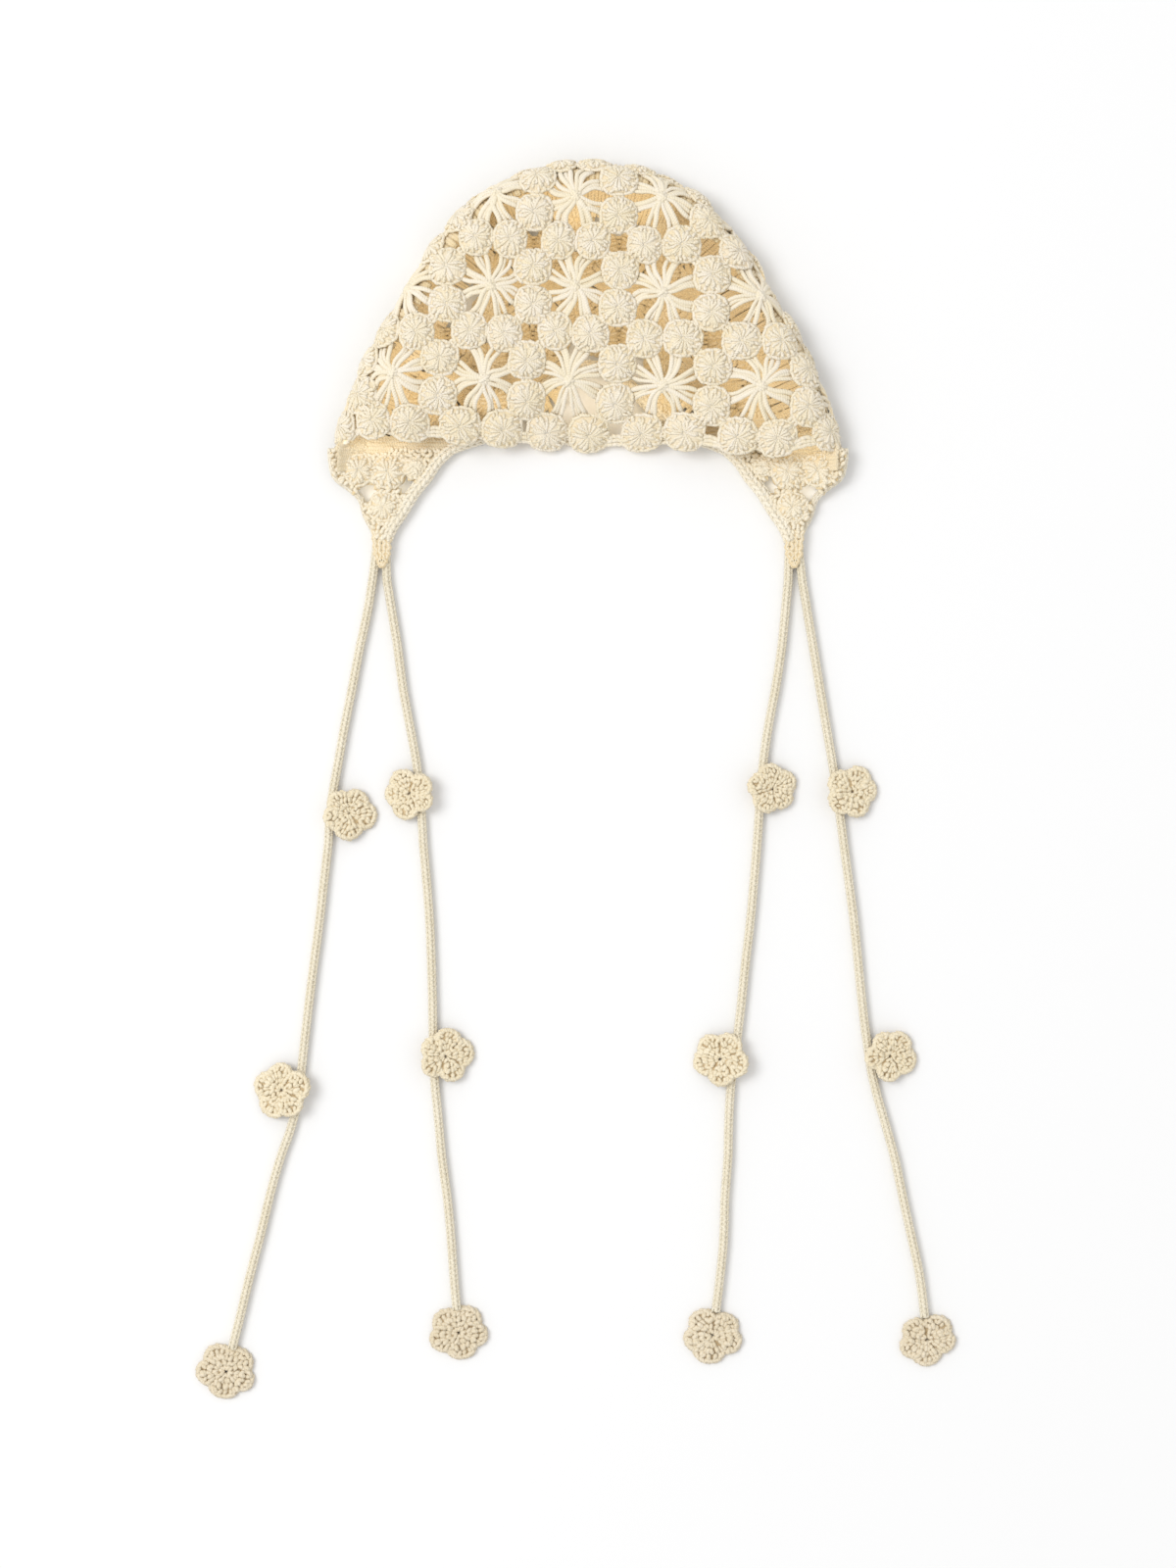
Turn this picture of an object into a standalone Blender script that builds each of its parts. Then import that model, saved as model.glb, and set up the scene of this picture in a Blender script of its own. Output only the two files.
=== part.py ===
"""A crocheted openwork bonnet with ear flaps and flower ties, lying flat on a surface.

Metres, +Z up. X runs from the viewer's left to right, Y from the flap tips to the top of the crown, and the
surface is at Z 0. While the pieces are made, Y is 0 on the crown's rim line. The last step moves them so that
the middle of the hat, without its ties, is over the origin.

The crown is one bag folded flat along its crease: an upper net and a lower net of joined motifs, domed rounds
and eight-petal stars, with gaps between the petals and between four rounds. The lower net's rounds stand on
the surface, flattened by the weight. A tongue of the lower net, the ear flap, hangs out at each side. A band
edges the lower opening and the flaps, and two ties with three flowers each leave each flap's tip.
"""

import math
from collections import namedtuple

import bmesh
import bpy
from mathutils import Vector
from mathutils.geometry import delaunay_2d_cdt, intersect_point_line

# Clearance between pieces that touch.
FIT = 0.0003

# Crown, as it lies.
HALF_WIDTH = 0.1325
CROWN_HEIGHT = 0.148
CREASE_HEIGHT = 0.0105
BODY_HEIGHT = 0.026
UPPER_SHOULDER = 0.030
LOWER_SHOULDER = 0.016
RIM_SLOPE = 0.060
RIM_CURL = 0.0055
SEAM_DROP = 0.001
ARCH_RISE = 0.041
WALL = 0.0026
CREASE_POINTS = 52
RIM_POINTS = 34

# Motifs. Their pitch is a share of the crown both across and up, and the smaller of the two sizes them.
PITCH_ACROSS = 0.3321
PITCH_UP = 0.2973
MOTIF_PITCH = min(HALF_WIDTH * PITCH_ACROSS, CROWN_HEIGHT * PITCH_UP)
ROUND_PITCH = MOTIF_PITCH * 0.4136
ROUND_RADIUS = MOTIF_PITCH * 0.1886
ROUND_RISE = 0.0042
ROUND_SIDES = 8
ROUND_TOP = 0.64
ROUND_BEND = 0.80
ROUND_SIZES = (1.0, 0.8, 0.62)
LEAST_SQUASH = 0.42
SQUARE_GAP = MOTIF_PITCH * 0.1818
HUB_RADIUS = MOTIF_PITCH * 0.0773
HUB_RISE = 0.0020
HUB_BEND = 0.70
MARGIN = 0.0011
LEAST_MARGIN = 0.0008
SHOULDER_INSET = 0.0045

# Ear flaps and their edging.
FLAP_DROP = 0.047
NET_DROP = FLAP_DROP * 0.862
OPENING_BAND = 0.0056
FLAP_BAND = 0.0040
FLAP_FALL = 0.75
SURFACE_GAP = 0.0002

# Ties and flowers.
TIE_DIAMETER = 0.0048
TIE_STEP = 0.0115
TIP_GAP = 0.0014
FLOWER_THICKNESS = 0.0042
PETALS = 5
CURVE_STEPS = 8
SLOPE_STEP = 0.0002

Crease = namedtuple("Crease", "rise half")
Rim = namedtuple("Rim", "across curl lift")
Arch = namedtuple("Arch", "rise across")
Flap = namedtuple("Flap", "drop inner outer")
FlapRound = namedtuple("FlapRound", "across drop size")
Corner = namedtuple("Corner", "across drop")
Station = namedtuple("Station", "across down")
Flower = namedtuple("Flower", "name across down radius turn")
FlowerRing = namedtuple("FlowerRing", "size rise")
Loop = namedtuple("Loop", "points lift kind")

# The crease, half of it: height as a share of CROWN_HEIGHT, half width as a share of HALF_WIDTH.
CREASE = (
    Crease(0.00, 1.000),
    Crease(0.10, 0.972),
    Crease(0.20, 0.930),
    Crease(0.30, 0.882),
    Crease(0.40, 0.825),
    Crease(0.50, 0.755),
    Crease(0.60, 0.690),
    Crease(0.70, 0.622),
    Crease(0.80, 0.530),
    Crease(0.88, 0.438),
    Crease(0.94, 0.315),
    Crease(0.98, 0.185),
    Crease(1.00, 0.000),
)

# The upper rim from left to right: across as a share of HALF_WIDTH, curl back towards the top as a share of
# RIM_CURL, height over the surface as a share of BODY_HEIGHT. Its middle lies on the surface.
RIM = (
    Rim(-1.00, 0.00, 0.40),
    Rim(-0.94, 0.45, 0.58),
    Rim(-0.86, 1.00, 0.68),
    Rim(-0.77, 0.75, 0.72),
    Rim(-0.69, 0.00, 0.68),
    Rim(-0.60, 0.55, 0.60),
    Rim(-0.49, 0.00, 0.52),
    Rim(-0.36, -0.10, 0.42),
    Rim(-0.21, 0.10, 0.20),
    Rim(-0.08, 0.00, 0.13),
    Rim(0.08, 0.10, 0.13),
    Rim(0.21, 0.20, 0.20),
    Rim(0.35, 0.00, 0.42),
    Rim(0.47, -0.30, 0.52),
    Rim(0.56, -0.70, 0.60),
    Rim(0.64, -0.90, 0.64),
    Rim(0.74, -0.70, 0.70),
    Rim(0.84, 0.10, 0.72),
    Rim(0.93, 0.00, 0.60),
    Rim(1.00, 0.00, 0.40),
)

# The middle of the opening's band over the arch, half of it: shares of ARCH_RISE and HALF_WIDTH.
ARCH = (
    Arch(0.07, 0.459),
    Arch(0.16, 0.376),
    Arch(0.32, 0.300),
    Arch(0.54, 0.226),
    Arch(0.78, 0.150),
    Arch(0.96, 0.060),
    Arch(1.00, 0.000),
)

# The middles of a flap's two bands: drop as a share of FLAP_DROP, inner and outer as shares of HALF_WIDTH.
FLAP = (
    Flap(0.00, 0.520, 0.985),
    Flap(0.04, 0.537, 0.985),
    Flap(0.10, 0.562, 0.984),
    Flap(0.20, 0.592, 0.980),
    Flap(0.32, 0.617, 0.966),
    Flap(0.42, 0.649, 0.916),
    Flap(0.54, 0.679, 0.871),
    Flap(0.66, 0.703, 0.859),
    Flap(0.76, 0.728, 0.847),
    Flap(0.86, 0.752, 0.825),
    Flap(1.00, 0.772, 0.811),
)

# A flap's rounds: shares of HALF_WIDTH, FLAP_DROP and ROUND_RADIUS.
FLAP_ROUNDS = (
    FlapRound(0.880, 0.232, 0.87),
    FlapRound(0.767, 0.245, 0.91),
    FlapRound(0.668, 0.195, 0.46),
    FlapRound(0.785, 0.628, 0.76),
)

# The corners of a flap's two gaps: shares of HALF_WIDTH and FLAP_DROP.
FLAP_GAPS = (
    (Corner(0.868, 0.432), Corner(0.838, 0.520), Corner(0.824, 0.432)),
    (Corner(0.732, 0.447), Corner(0.682, 0.415), Corner(0.687, 0.335)),
)

# The stars' places: columns across as shares of HALF_WIDTH, and rows up from the rim line as shares of
# CROWN_HEIGHT. The outermost columns and rows hold no star, and only place the rounds beside them.
COLUMNS = (-1.0427, -0.7073, -0.3752, -0.0465, 0.2856, 0.6575, 1.0128)
ROWS = (-0.0714, 0.2289, 0.5351, 0.8592, 1.1476)

# How far the lower net's columns stand to the right of the upper net's, as a share of HALF_WIDTH, so that its
# gaps lie under the upper rounds. Its first column is then a pitch to the left of the others.
LOWER_SHIFT = PITCH_ACROSS / 2

# A gap between two petals: how far out its corners lie, as shares of the way to the middle of the two rounds,
# and its half width as a share of ROUND_RADIUS.
GAP_NEAR = 0.28
GAP_WIDE = 0.57
GAP_FAR = 0.84
GAP_HALF_WIDTH = 0.35

# The ties' routes: metres across and down from the middle of the flap's tip, laid by hand from the photo.
TIE_ROUTES = {
    "tie_left_outer": (
        Station(-0.0027, 0.0000),
        Station(-0.0042, 0.0130),
        Station(-0.0072, 0.0330),
        Station(-0.0115, 0.0530),
        Station(-0.0152, 0.0730),
        Station(-0.0192, 0.0930),
        Station(-0.0227, 0.1130),
        Station(-0.0262, 0.1330),
        Station(-0.0275, 0.1530),
        Station(-0.0298, 0.1730),
        Station(-0.0320, 0.1930),
        Station(-0.0347, 0.2130),
        Station(-0.0372, 0.2330),
        Station(-0.0395, 0.2530),
        Station(-0.0418, 0.2730),
        Station(-0.0450, 0.2930),
        Station(-0.0520, 0.3130),
        Station(-0.0575, 0.3330),
        Station(-0.0622, 0.3530),
        Station(-0.0675, 0.3730),
        Station(-0.0722, 0.3930),
        Station(-0.0765, 0.4100),
    ),
    "tie_left_inner": (
        Station(0.0027, 0.0000),
        Station(0.0018, 0.0130),
        Station(0.0048, 0.0330),
        Station(0.0080, 0.0530),
        Station(0.0105, 0.0730),
        Station(0.0142, 0.0930),
        Station(0.0178, 0.1130),
        Station(0.0198, 0.1330),
        Station(0.0210, 0.1530),
        Station(0.0228, 0.1730),
        Station(0.0243, 0.1930),
        Station(0.0251, 0.2130),
        Station(0.0257, 0.2330),
        Station(0.0260, 0.2530),
        Station(0.0267, 0.2730),
        Station(0.0287, 0.2930),
        Station(0.0305, 0.3130),
        Station(0.0332, 0.3330),
        Station(0.0351, 0.3530),
        Station(0.0365, 0.3730),
        Station(0.0380, 0.3900),
    ),
    "tie_right_inner": (
        Station(-0.0027, 0.0000),
        Station(-0.0025, 0.0130),
        Station(-0.0042, 0.0330),
        Station(-0.0062, 0.0530),
        Station(-0.0092, 0.0730),
        Station(-0.0130, 0.0930),
        Station(-0.0158, 0.1130),
        Station(-0.0174, 0.1330),
        Station(-0.0187, 0.1530),
        Station(-0.0204, 0.1730),
        Station(-0.0222, 0.1930),
        Station(-0.0246, 0.2130),
        Station(-0.0266, 0.2330),
        Station(-0.0290, 0.2530),
        Station(-0.0318, 0.2730),
        Station(-0.0331, 0.2930),
        Station(-0.0335, 0.3130),
        Station(-0.0351, 0.3330),
        Station(-0.0356, 0.3530),
        Station(-0.0375, 0.3730),
        Station(-0.0398, 0.3910),
    ),
    "tie_right_outer": (
        Station(0.0027, 0.0000),
        Station(0.0035, 0.0130),
        Station(0.0067, 0.0330),
        Station(0.0100, 0.0530),
        Station(0.0133, 0.0730),
        Station(0.0166, 0.0930),
        Station(0.0200, 0.1130),
        Station(0.0229, 0.1330),
        Station(0.0255, 0.1530),
        Station(0.0282, 0.1730),
        Station(0.0308, 0.1930),
        Station(0.0328, 0.2130),
        Station(0.0348, 0.2330),
        Station(0.0372, 0.2530),
        Station(0.0404, 0.2730),
        Station(0.0460, 0.2930),
        Station(0.0515, 0.3130),
        Station(0.0556, 0.3330),
        Station(0.0600, 0.3530),
        Station(0.0643, 0.3730),
        Station(0.0668, 0.3940),
    ),
}

# The flowers sewn to each tie's side: metres across and down from the flap's tip, radius, turn in degrees.
SIDE_FLOWERS = {
    "tie_left_outer": (
        Flower("flower_left_outer_upper", -0.0165, 0.1370, 0.0128, 20),
        Flower("flower_left_outer_middle", -0.0510, 0.2780, 0.0140, 55),
    ),
    "tie_left_inner": (
        Flower("flower_left_inner_upper", 0.0140, 0.1270, 0.0126, 5),
        Flower("flower_left_inner_middle", 0.0325, 0.2605, 0.0136, 40),
    ),
    "tie_right_inner": (
        Flower("flower_right_inner_upper", -0.0110, 0.1245, 0.0122, 60),
        Flower("flower_right_inner_middle", -0.0375, 0.2620, 0.0136, 15),
    ),
    "tie_right_outer": (
        Flower("flower_right_outer_upper", 0.0295, 0.1260, 0.0126, 35),
        Flower("flower_right_outer_middle", 0.0490, 0.2605, 0.0130, 10),
    ),
}

# The flower at each tie's end.
END_FLOWER_RADIUS = {
    "tie_left_outer": 0.0152,
    "tie_left_inner": 0.0150,
    "tie_right_inner": 0.0156,
    "tie_right_outer": 0.0144,
}

# A petal's outline, from one notch to before the next: shares of the flower's radius.
PETAL_OUTLINE = (0.78, 0.955, 1.00, 0.955)

# A flower's rings from the underside up: shares of its radius and of FLOWER_THICKNESS.
FLOWER_RINGS = (
    FlowerRing(0.90, 0.00),
    FlowerRing(1.00, 0.45),
    FlowerRing(0.80, 1.00),
)
FLOWER_MIDDLE = 0.90

# How far a tie's end stands off the flower at that end, as a share of its diameter: its petals flank the tie.
END_STAND_OFF = 0.35

CREAM = (0.93, 0.85, 0.72)
WARM_CREAM = (0.90, 0.80, 0.64)
TIE_CREAM = (0.86, 0.77, 0.60)
YARN_ROUGHNESS = 0.92

UPPER = 1
LOWER = -1


def yarn(name, colour):
    """A matt cotton yarn."""
    material = bpy.data.materials.new(name)
    material.use_nodes = True
    shader = material.node_tree.nodes["Principled BSDF"]
    shader.inputs["Base Color"].default_value = (*colour, 1.0)
    shader.inputs["Roughness"].default_value = YARN_ROUGHNESS
    shader.inputs["Metallic"].default_value = 0.0
    return material


def smooth_line(points, step):
    """Points about a step apart on a smooth curve through the given ones."""
    points = [Vector(p) for p in points]
    ends = [points[0] * 2 - points[1], *points, points[-1] * 2 - points[-2]]
    line = []
    for a, b, c, d in zip(ends, ends[1:], ends[2:], ends[3:]):
        bend = a * 2 - b * 5 + c * 4 - d
        twist = b * 3 - a - c * 3 + d
        for i in range(CURVE_STEPS):
            t = i / CURVE_STEPS
            line.append((b * 2 + (c - a) * t + bend * t**2 + twist * t**3) / 2)
    line.append(points[-1])
    return spaced_line(line, step)


def spaced_line(line, step):
    """The line again, with its points evenly spaced and about a step apart."""
    along = [0.0]
    for a, b in zip(line, line[1:]):
        along.append(along[-1] + (b - a).length)
    count = max(1, round(along[-1] / step))
    spaced = []
    piece = 0
    for i in range(count + 1):
        at = along[-1] * i / count
        while piece < len(line) - 2 and along[piece + 1] < at:
            piece += 1
        share = (at - along[piece]) / (along[piece + 1] - along[piece])
        spaced.append(line[piece].lerp(line[piece + 1], min(1.0, share)))
    return spaced


def offset_line(line, distance):
    """A plan line moved sideways: to the left of its run where the distance is positive."""
    moved = []
    for i, point in enumerate(line):
        run = (line[min(i + 1, len(line) - 1)] - line[max(i - 1, 0)]).normalized()
        moved.append(point + Vector((-run.y, run.x)) * distance)
    return moved


def cut_line(line, height, above):
    """The part of a plan line above or below a height, with a point where it crosses."""
    kept = []
    for a, b in zip(line, line[1:]):
        inside_a = (a.y >= height) == above
        inside_b = (b.y >= height) == above
        if inside_a:
            kept.append(a)
        if inside_a != inside_b:
            kept.append(a.lerp(b, (height - a.y) / (b.y - a.y)))
    if (line[-1].y >= height) == above:
        kept.append(line[-1])
    return kept


def nearest_on(line, point):
    """The nearest point of a plan line."""
    best = None
    for a, b in zip(line, line[1:]):
        place, share = intersect_point_line(point, a, b)
        place = a.lerp(b, min(1.0, max(0.0, share)))
        if best is None or (place - point).length < (best - point).length:
            best = place
    return best


def inside(loop, point):
    """Whether a plan point lies inside a closed loop."""
    odd = False
    for a, b in zip(loop, loop[1:] + loop[:1]):
        if (a.y > point.y) != (b.y > point.y):
            if point.x < a.x + (b.x - a.x) * (point.y - a.y) / (b.y - a.y):
                odd = not odd
    return odd


def clear_of(loop, point):
    """How far a plan point lies inside a closed loop, or 0 outside it."""
    if not inside(loop, point):
        return 0.0
    return (nearest_on([*loop, loop[0]], point) - point).length


def between(rows, column, value, at):
    """A column's value at a place along another column, read from straight lines between the rows."""
    at = min(max(at, getattr(rows[0], value)), getattr(rows[-1], value))
    for a, b in zip(rows, rows[1:]):
        low, high = getattr(a, value), getattr(b, value)
        if low <= at <= high:
            share = (at - low) / (high - low)
            return getattr(a, column) * (1 - share) + getattr(b, column) * share
    return getattr(rows[-1], column)


def crease_line():
    """The crease in plan, from the left end of the rim over the top to the right end."""
    left = [Vector((-r.half * HALF_WIDTH, r.rise * CROWN_HEIGHT)) for r in CREASE]
    right = [Vector((-p.x, p.y)) for p in reversed(left[:-1])]
    left[0].y = right[-1].y = -SEAM_DROP
    length = sum((b - a).length for a, b in zip(left, left[1:])) * 2
    return smooth_line([*left, *right], length / CREASE_POINTS)


def rim_line():
    """The upper rim in plan, from the right end of the crease to the left."""
    points = [Vector((r.across * HALF_WIDTH, r.curl * RIM_CURL)) for r in reversed(RIM)]
    points[0].y = points[-1].y = -SEAM_DROP
    return smooth_line(points, 2 * HALF_WIDTH / RIM_POINTS)


def flap_side(column):
    """The middle of one of the left flap's bands, from the seam to the tip."""
    return [Vector((-getattr(r, column) * HALF_WIDTH, -r.drop * FLAP_DROP)) for r in FLAP]


def opening_line():
    """The middle of the opening's band, from the left flap's tip over the arch to the right flap's tip."""
    left = list(reversed(flap_side("inner")))
    left += [Vector((-r.across * HALF_WIDTH, r.rise * ARCH_RISE)) for r in ARCH]
    right = [Vector((-p.x, p.y)) for p in reversed(left[:-1])]
    return smooth_line([*left, *right], OPENING_BAND)


CREASE_LINE = crease_line()
RIM_LINE = rim_line()
OPENING_LINE = opening_line()
FLAP_LINE = smooth_line(flap_side("outer")[1:], FLAP_BAND * 1.2)


def crown_height(side, point):
    """The height of the crown's outer face over a plan point."""
    near = (nearest_on(CREASE_LINE, point) - point).length
    if side == LOWER:
        fold = max(0.0, 1 - near / LOWER_SHOULDER) ** 2
        return ROUND_RISE + (CREASE_HEIGHT - ROUND_RISE) * fold
    across = point.x / HALF_WIDTH
    rim = between(RIM, "curl", "across", across) * RIM_CURL
    rim_height = between(RIM, "lift", "across", across) * BODY_HEIGHT
    up = min(1.0, max(0.0, (point.y - rim) / RIM_SLOPE))
    body = rim_height + (BODY_HEIGHT - rim_height) * math.sin(up * math.pi / 2)
    fold = 1 - min(1.0, near / UPPER_SHOULDER)
    return CREASE_HEIGHT + (body - CREASE_HEIGHT) * math.sqrt(1 - fold**2)


def flap_height(side, point):
    """The height of a flap's outer face, its underside, which rises to the crease beside the crown."""
    left = Vector((-abs(point.x), point.y))
    near = (nearest_on(FLAP_LINE, left) - left).length
    fold = max(0.0, 1 - near / LOWER_SHOULDER) ** 2
    return ROUND_RISE + (CREASE_HEIGHT - ROUND_RISE) * fold * flap_fade(point.y)


def flap_fade(y):
    """How much of the crease's height is left along a flap's outer side: all at the seam, none at its tip."""
    down = min(1.0, max(0.0, -(y + SEAM_DROP) / (FLAP_DROP * FLAP_FALL)))
    return (1 + math.cos(math.pi * down)) / 2


def placed(height, side, point, lift):
    """A plan point on the outer face, lifted off it along its normal, which is square to the seam there."""
    slope = []
    for step in (Vector((SLOPE_STEP, 0)), Vector((0, SLOPE_STEP))):
        slope.append((height(side, point + step) - height(side, point - step)) / (2 * SLOPE_STEP))
    if abs(point.y + SEAM_DROP) < 2 * FIT:
        slope[1] = 0.0
    normal = Vector((-slope[0], -slope[1], 1)).normalized() * side
    spot = Vector((point.x, point.y, height(side, point))) + normal * lift
    spot.z = max(0.0, spot.z)
    return spot


def polygon(centre, radius, sides, turn=0.0, squash=1.0, axis=0.0):
    """A plan loop of evenly spaced points, squashed along an axis."""
    along = Vector((math.cos(axis), math.sin(axis)))
    beside = Vector((-along.y, along.x))
    loop = []
    for i in range(sides):
        angle = turn + 2 * math.pi * i / sides
        out = along * (squash * math.cos(angle)) + beside * math.sin(angle)
        loop.append(centre + out * radius)
    return loop


def net_columns(side):
    """The columns of the upper or lower net's stars."""
    if side == UPPER:
        return COLUMNS
    shifted = [x + LOWER_SHIFT for x in COLUMNS]
    return (shifted[0] - PITCH_ACROSS, *shifted)


def net_place(across, up):
    """The plan point at a share of HALF_WIDTH across and of CROWN_HEIGHT up."""
    return Vector((across * HALF_WIDTH, up * CROWN_HEIGHT))


def round_places(columns):
    """The middles of the rounds: two between each pair of stars, side by side."""
    half = ROUND_PITCH / 2
    places = []
    for i, x in enumerate(columns):
        for j, y in enumerate(ROWS):
            if i + 1 < len(columns):
                middle = net_place((x + columns[i + 1]) / 2, y)
                places += [middle + Vector((0, s)) for s in (-half, half)]
            if j + 1 < len(ROWS):
                middle = net_place(x, (y + ROWS[j + 1]) / 2)
                places += [middle + Vector((s, 0)) for s in (-half, half)]
    return places


def star_places():
    """The middles of the stars."""
    return [net_place(x, y) for x in COLUMNS[1:-1] for y in ROWS[1:-1]]


def round_loops(border, side, centres):
    """The base and top loops of each round that fits inside the border, squashed beside its edge.

    The upper net's rounds are domed to a point. The lower net's are pressed level by the surface.
    """
    loops = []
    for centre in centres:
        edge = nearest_on([*border, border[0]], centre)
        squash = min(1.0, (clear_of(border, centre) - MARGIN) / ROUND_RADIUS)
        if squash < LEAST_SQUASH:
            continue
        axis = math.atan2(edge.y - centre.y, edge.x - centre.x)
        for size in ROUND_SIZES:
            narrow = min(1.0, squash / size)
            base = polygon(centre, ROUND_RADIUS * size, ROUND_SIDES, math.pi / ROUND_SIDES, narrow, axis)
            if min(clear_of(border, p) for p in base) > LEAST_MARGIN:
                top = [centre.lerp(p, ROUND_TOP) for p in base]
                loops.append(Loop(base, 0.0, "round"))
                loops.append(Loop(top, ROUND_RISE * (ROUND_BEND if side == UPPER else 1.0), "top"))
                if side == UPPER:
                    loops.append(Loop([centre], ROUND_RISE, "point"))
                break
    return loops


def star_loops(border, centre, rounds):
    """A star's hub, and the gap between each two of its eight petals."""
    around = sorted(rounds, key=lambda p: (p - centre).length)[:8]
    around.sort(key=lambda p: math.atan2(p.y - centre.y, p.x - centre.x))
    loops = []
    for a, b in zip(around, around[1:] + around[:1]):
        out = (a + b) / 2 - centre
        beside = Vector((-out.y, out.x)).normalized() * ROUND_RADIUS * GAP_HALF_WIDTH
        gap = [
            centre + out * GAP_NEAR,
            centre + out * GAP_WIDE - beside,
            centre + out * GAP_FAR,
            centre + out * GAP_WIDE + beside,
        ]
        if min(clear_of(border, p) for p in gap) > MARGIN:
            loops.append(Loop(gap, 0.0, "gap"))
    if clear_of(border, centre) > HUB_RADIUS + MARGIN:
        loops.append(Loop(polygon(centre, HUB_RADIUS, ROUND_SIDES), HUB_RISE * HUB_BEND, "round"))
        loops.append(Loop([centre], HUB_RISE, "point"))
    return loops


def square_loops(border, columns):
    """The square gap between each four rounds."""
    loops = []
    for a, b in zip(columns, columns[1:]):
        for c, d in zip(ROWS, ROWS[1:]):
            centre = net_place((a + b) / 2, (c + d) / 2)
            gap = polygon(centre, SQUARE_GAP / math.sqrt(2), 4, math.pi / 4)
            if min(clear_of(border, p) for p in gap) > MARGIN:
                loops.append(Loop(gap, 0.0, "gap"))
    return loops


def free_of(loops, point, room):
    """Whether a plan point is outside every loop, with room to spare."""
    for loop in loops:
        if len(loop.points) > 2:
            if inside(loop.points, point):
                return False
            if (nearest_on([*loop.points, loop.points[0]], point) - point).length < room:
                return False
    return True


def add_sheet(mesh, border, loops, height, side, depth, edge_points):
    """Adds one face of a net to the mesh and returns the corners of its border and of each gap.

    The outer face (depth 0) carries the rounds and hubs. The inner one, a wall deeper, is plain. The first
    edge_points points of the border are on the crease, where the wall is measured level.
    """
    shown = [loop for loop in loops if loop.kind == "gap" or depth == 0]
    flat = [Loop(border, 0.0, "border"), *shown]
    plan = []
    edges = []
    corners = []
    gap_of = []
    for number, loop in enumerate(flat):
        first = len(plan)
        count = len(loop.points)
        for i, point in enumerate(loop.points):
            plan.append(point)
            if number == 0 and i < edge_points:
                out = CREASE_NORMALS[i]
                spot = Vector((point.x - out.x * depth, point.y - out.y * depth, CREASE_HEIGHT))
            else:
                spot = placed(height, side, point, loop.lift - depth)
            corners.append(mesh.verts.new(spot))
            gap_of.append(number if loop.kind == "gap" else None)
            if count > 2:
                edges.append((first + i, first + (i + 1) % count))
    _, _, faces, source, _, _ = delaunay_2d_cdt(plan, edges, [], 1, 1e-7)
    for face in faces:
        ids = [source[v][0] for v in face]
        if gap_of[ids[0]] is not None and len({gap_of[i] for i in ids}) == 1:
            continue
        mesh.faces.new([corners[i] for i in ids])
    rings = []
    start = 0
    for loop in flat:
        if loop.kind in ("border", "gap"):
            rings.append(corners[start : start + len(loop.points)])
        start += len(loop.points)
    return rings


def add_walls(mesh, outer, inner, first=0):
    """Joins two rings of corners with a strip, from the given corner on."""
    count = len(outer)
    for i in range(first, count):
        j = (i + 1) % count
        mesh.faces.new((outer[i], outer[j], inner[j], inner[i]))


def finish_mesh(name, mesh, material):
    """Welds the mesh, turns its faces out and puts it in the scene."""
    bmesh.ops.remove_doubles(mesh, verts=mesh.verts, dist=1e-6)
    bmesh.ops.recalc_face_normals(mesh, faces=mesh.faces)
    if mesh.calc_volume(signed=True) < 0:
        bmesh.ops.reverse_faces(mesh, faces=mesh.faces)
    data = bpy.data.meshes.new(name)
    mesh.to_mesh(data)
    mesh.free()
    return add_object(name, data, material)


def add_object(name, data, material):
    """Puts a mesh or curve in the scene under its name."""
    data.materials.append(material)
    piece = bpy.data.objects.new(name, data)
    bpy.context.scene.collection.objects.link(piece)
    return piece


def crease_normals():
    """The level direction that points out of the crown at each point of the crease."""
    normals = []
    for i in range(len(CREASE_LINE)):
        run = CREASE_LINE[min(i + 1, len(CREASE_LINE) - 1)] - CREASE_LINE[max(i - 1, 0)]
        normals.append(Vector((-run.y, run.x)).normalized())
    normals[0] = Vector((-1, 0))
    normals[-1] = Vector((1, 0))
    return normals


CREASE_NORMALS = crease_normals()


def lower_rim():
    """The lower net's rim in plan, from the right end of the crease to the left: seam, arch and seam."""
    beside = offset_line(OPENING_LINE, OPENING_BAND / 2 + FIT)
    arch = spaced_line(cut_line(beside, -SEAM_DROP, True), OPENING_BAND * 1.2)
    ends = CREASE_LINE[-1], CREASE_LINE[0]
    right = spaced_line([ends[0], arch[-1]], ROUND_RADIUS)
    left = spaced_line([arch[0], ends[1]], ROUND_RADIUS)
    return [*right[:-1], *reversed(arch), *left[1:]]


def build_crown():
    """The bag: an upper and a lower net that share the crease."""
    mesh = bmesh.new()
    for side, rim in ((UPPER, RIM_LINE), (LOWER, lower_rim())):
        border = [*CREASE_LINE, *rim[1:-1]]
        rounds = round_places(net_columns(side))
        loops = square_loops(border, net_columns(side)) + round_loops(border, side, rounds)
        if side == UPPER:
            for centre in star_places():
                loops += star_loops(border, centre, rounds)
        shoulder = offset_line(CREASE_LINE[1:-1], -SHOULDER_INSET)
        loops += [Loop([p], 0.0, "point") for p in shoulder if free_of(loops, p, MARGIN)]
        outer = add_sheet(mesh, border, loops, crown_height, side, 0.0, len(CREASE_LINE))
        inner = add_sheet(mesh, border, loops, crown_height, side, WALL, len(CREASE_LINE))
        add_walls(mesh, outer[0], inner[0], first=len(CREASE_LINE) - 1)
        for a, b in zip(outer[1:], inner[1:]):
            add_walls(mesh, a, b)
    return finish_mesh("crown", mesh, yarn("cream_cotton", CREAM))


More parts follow.
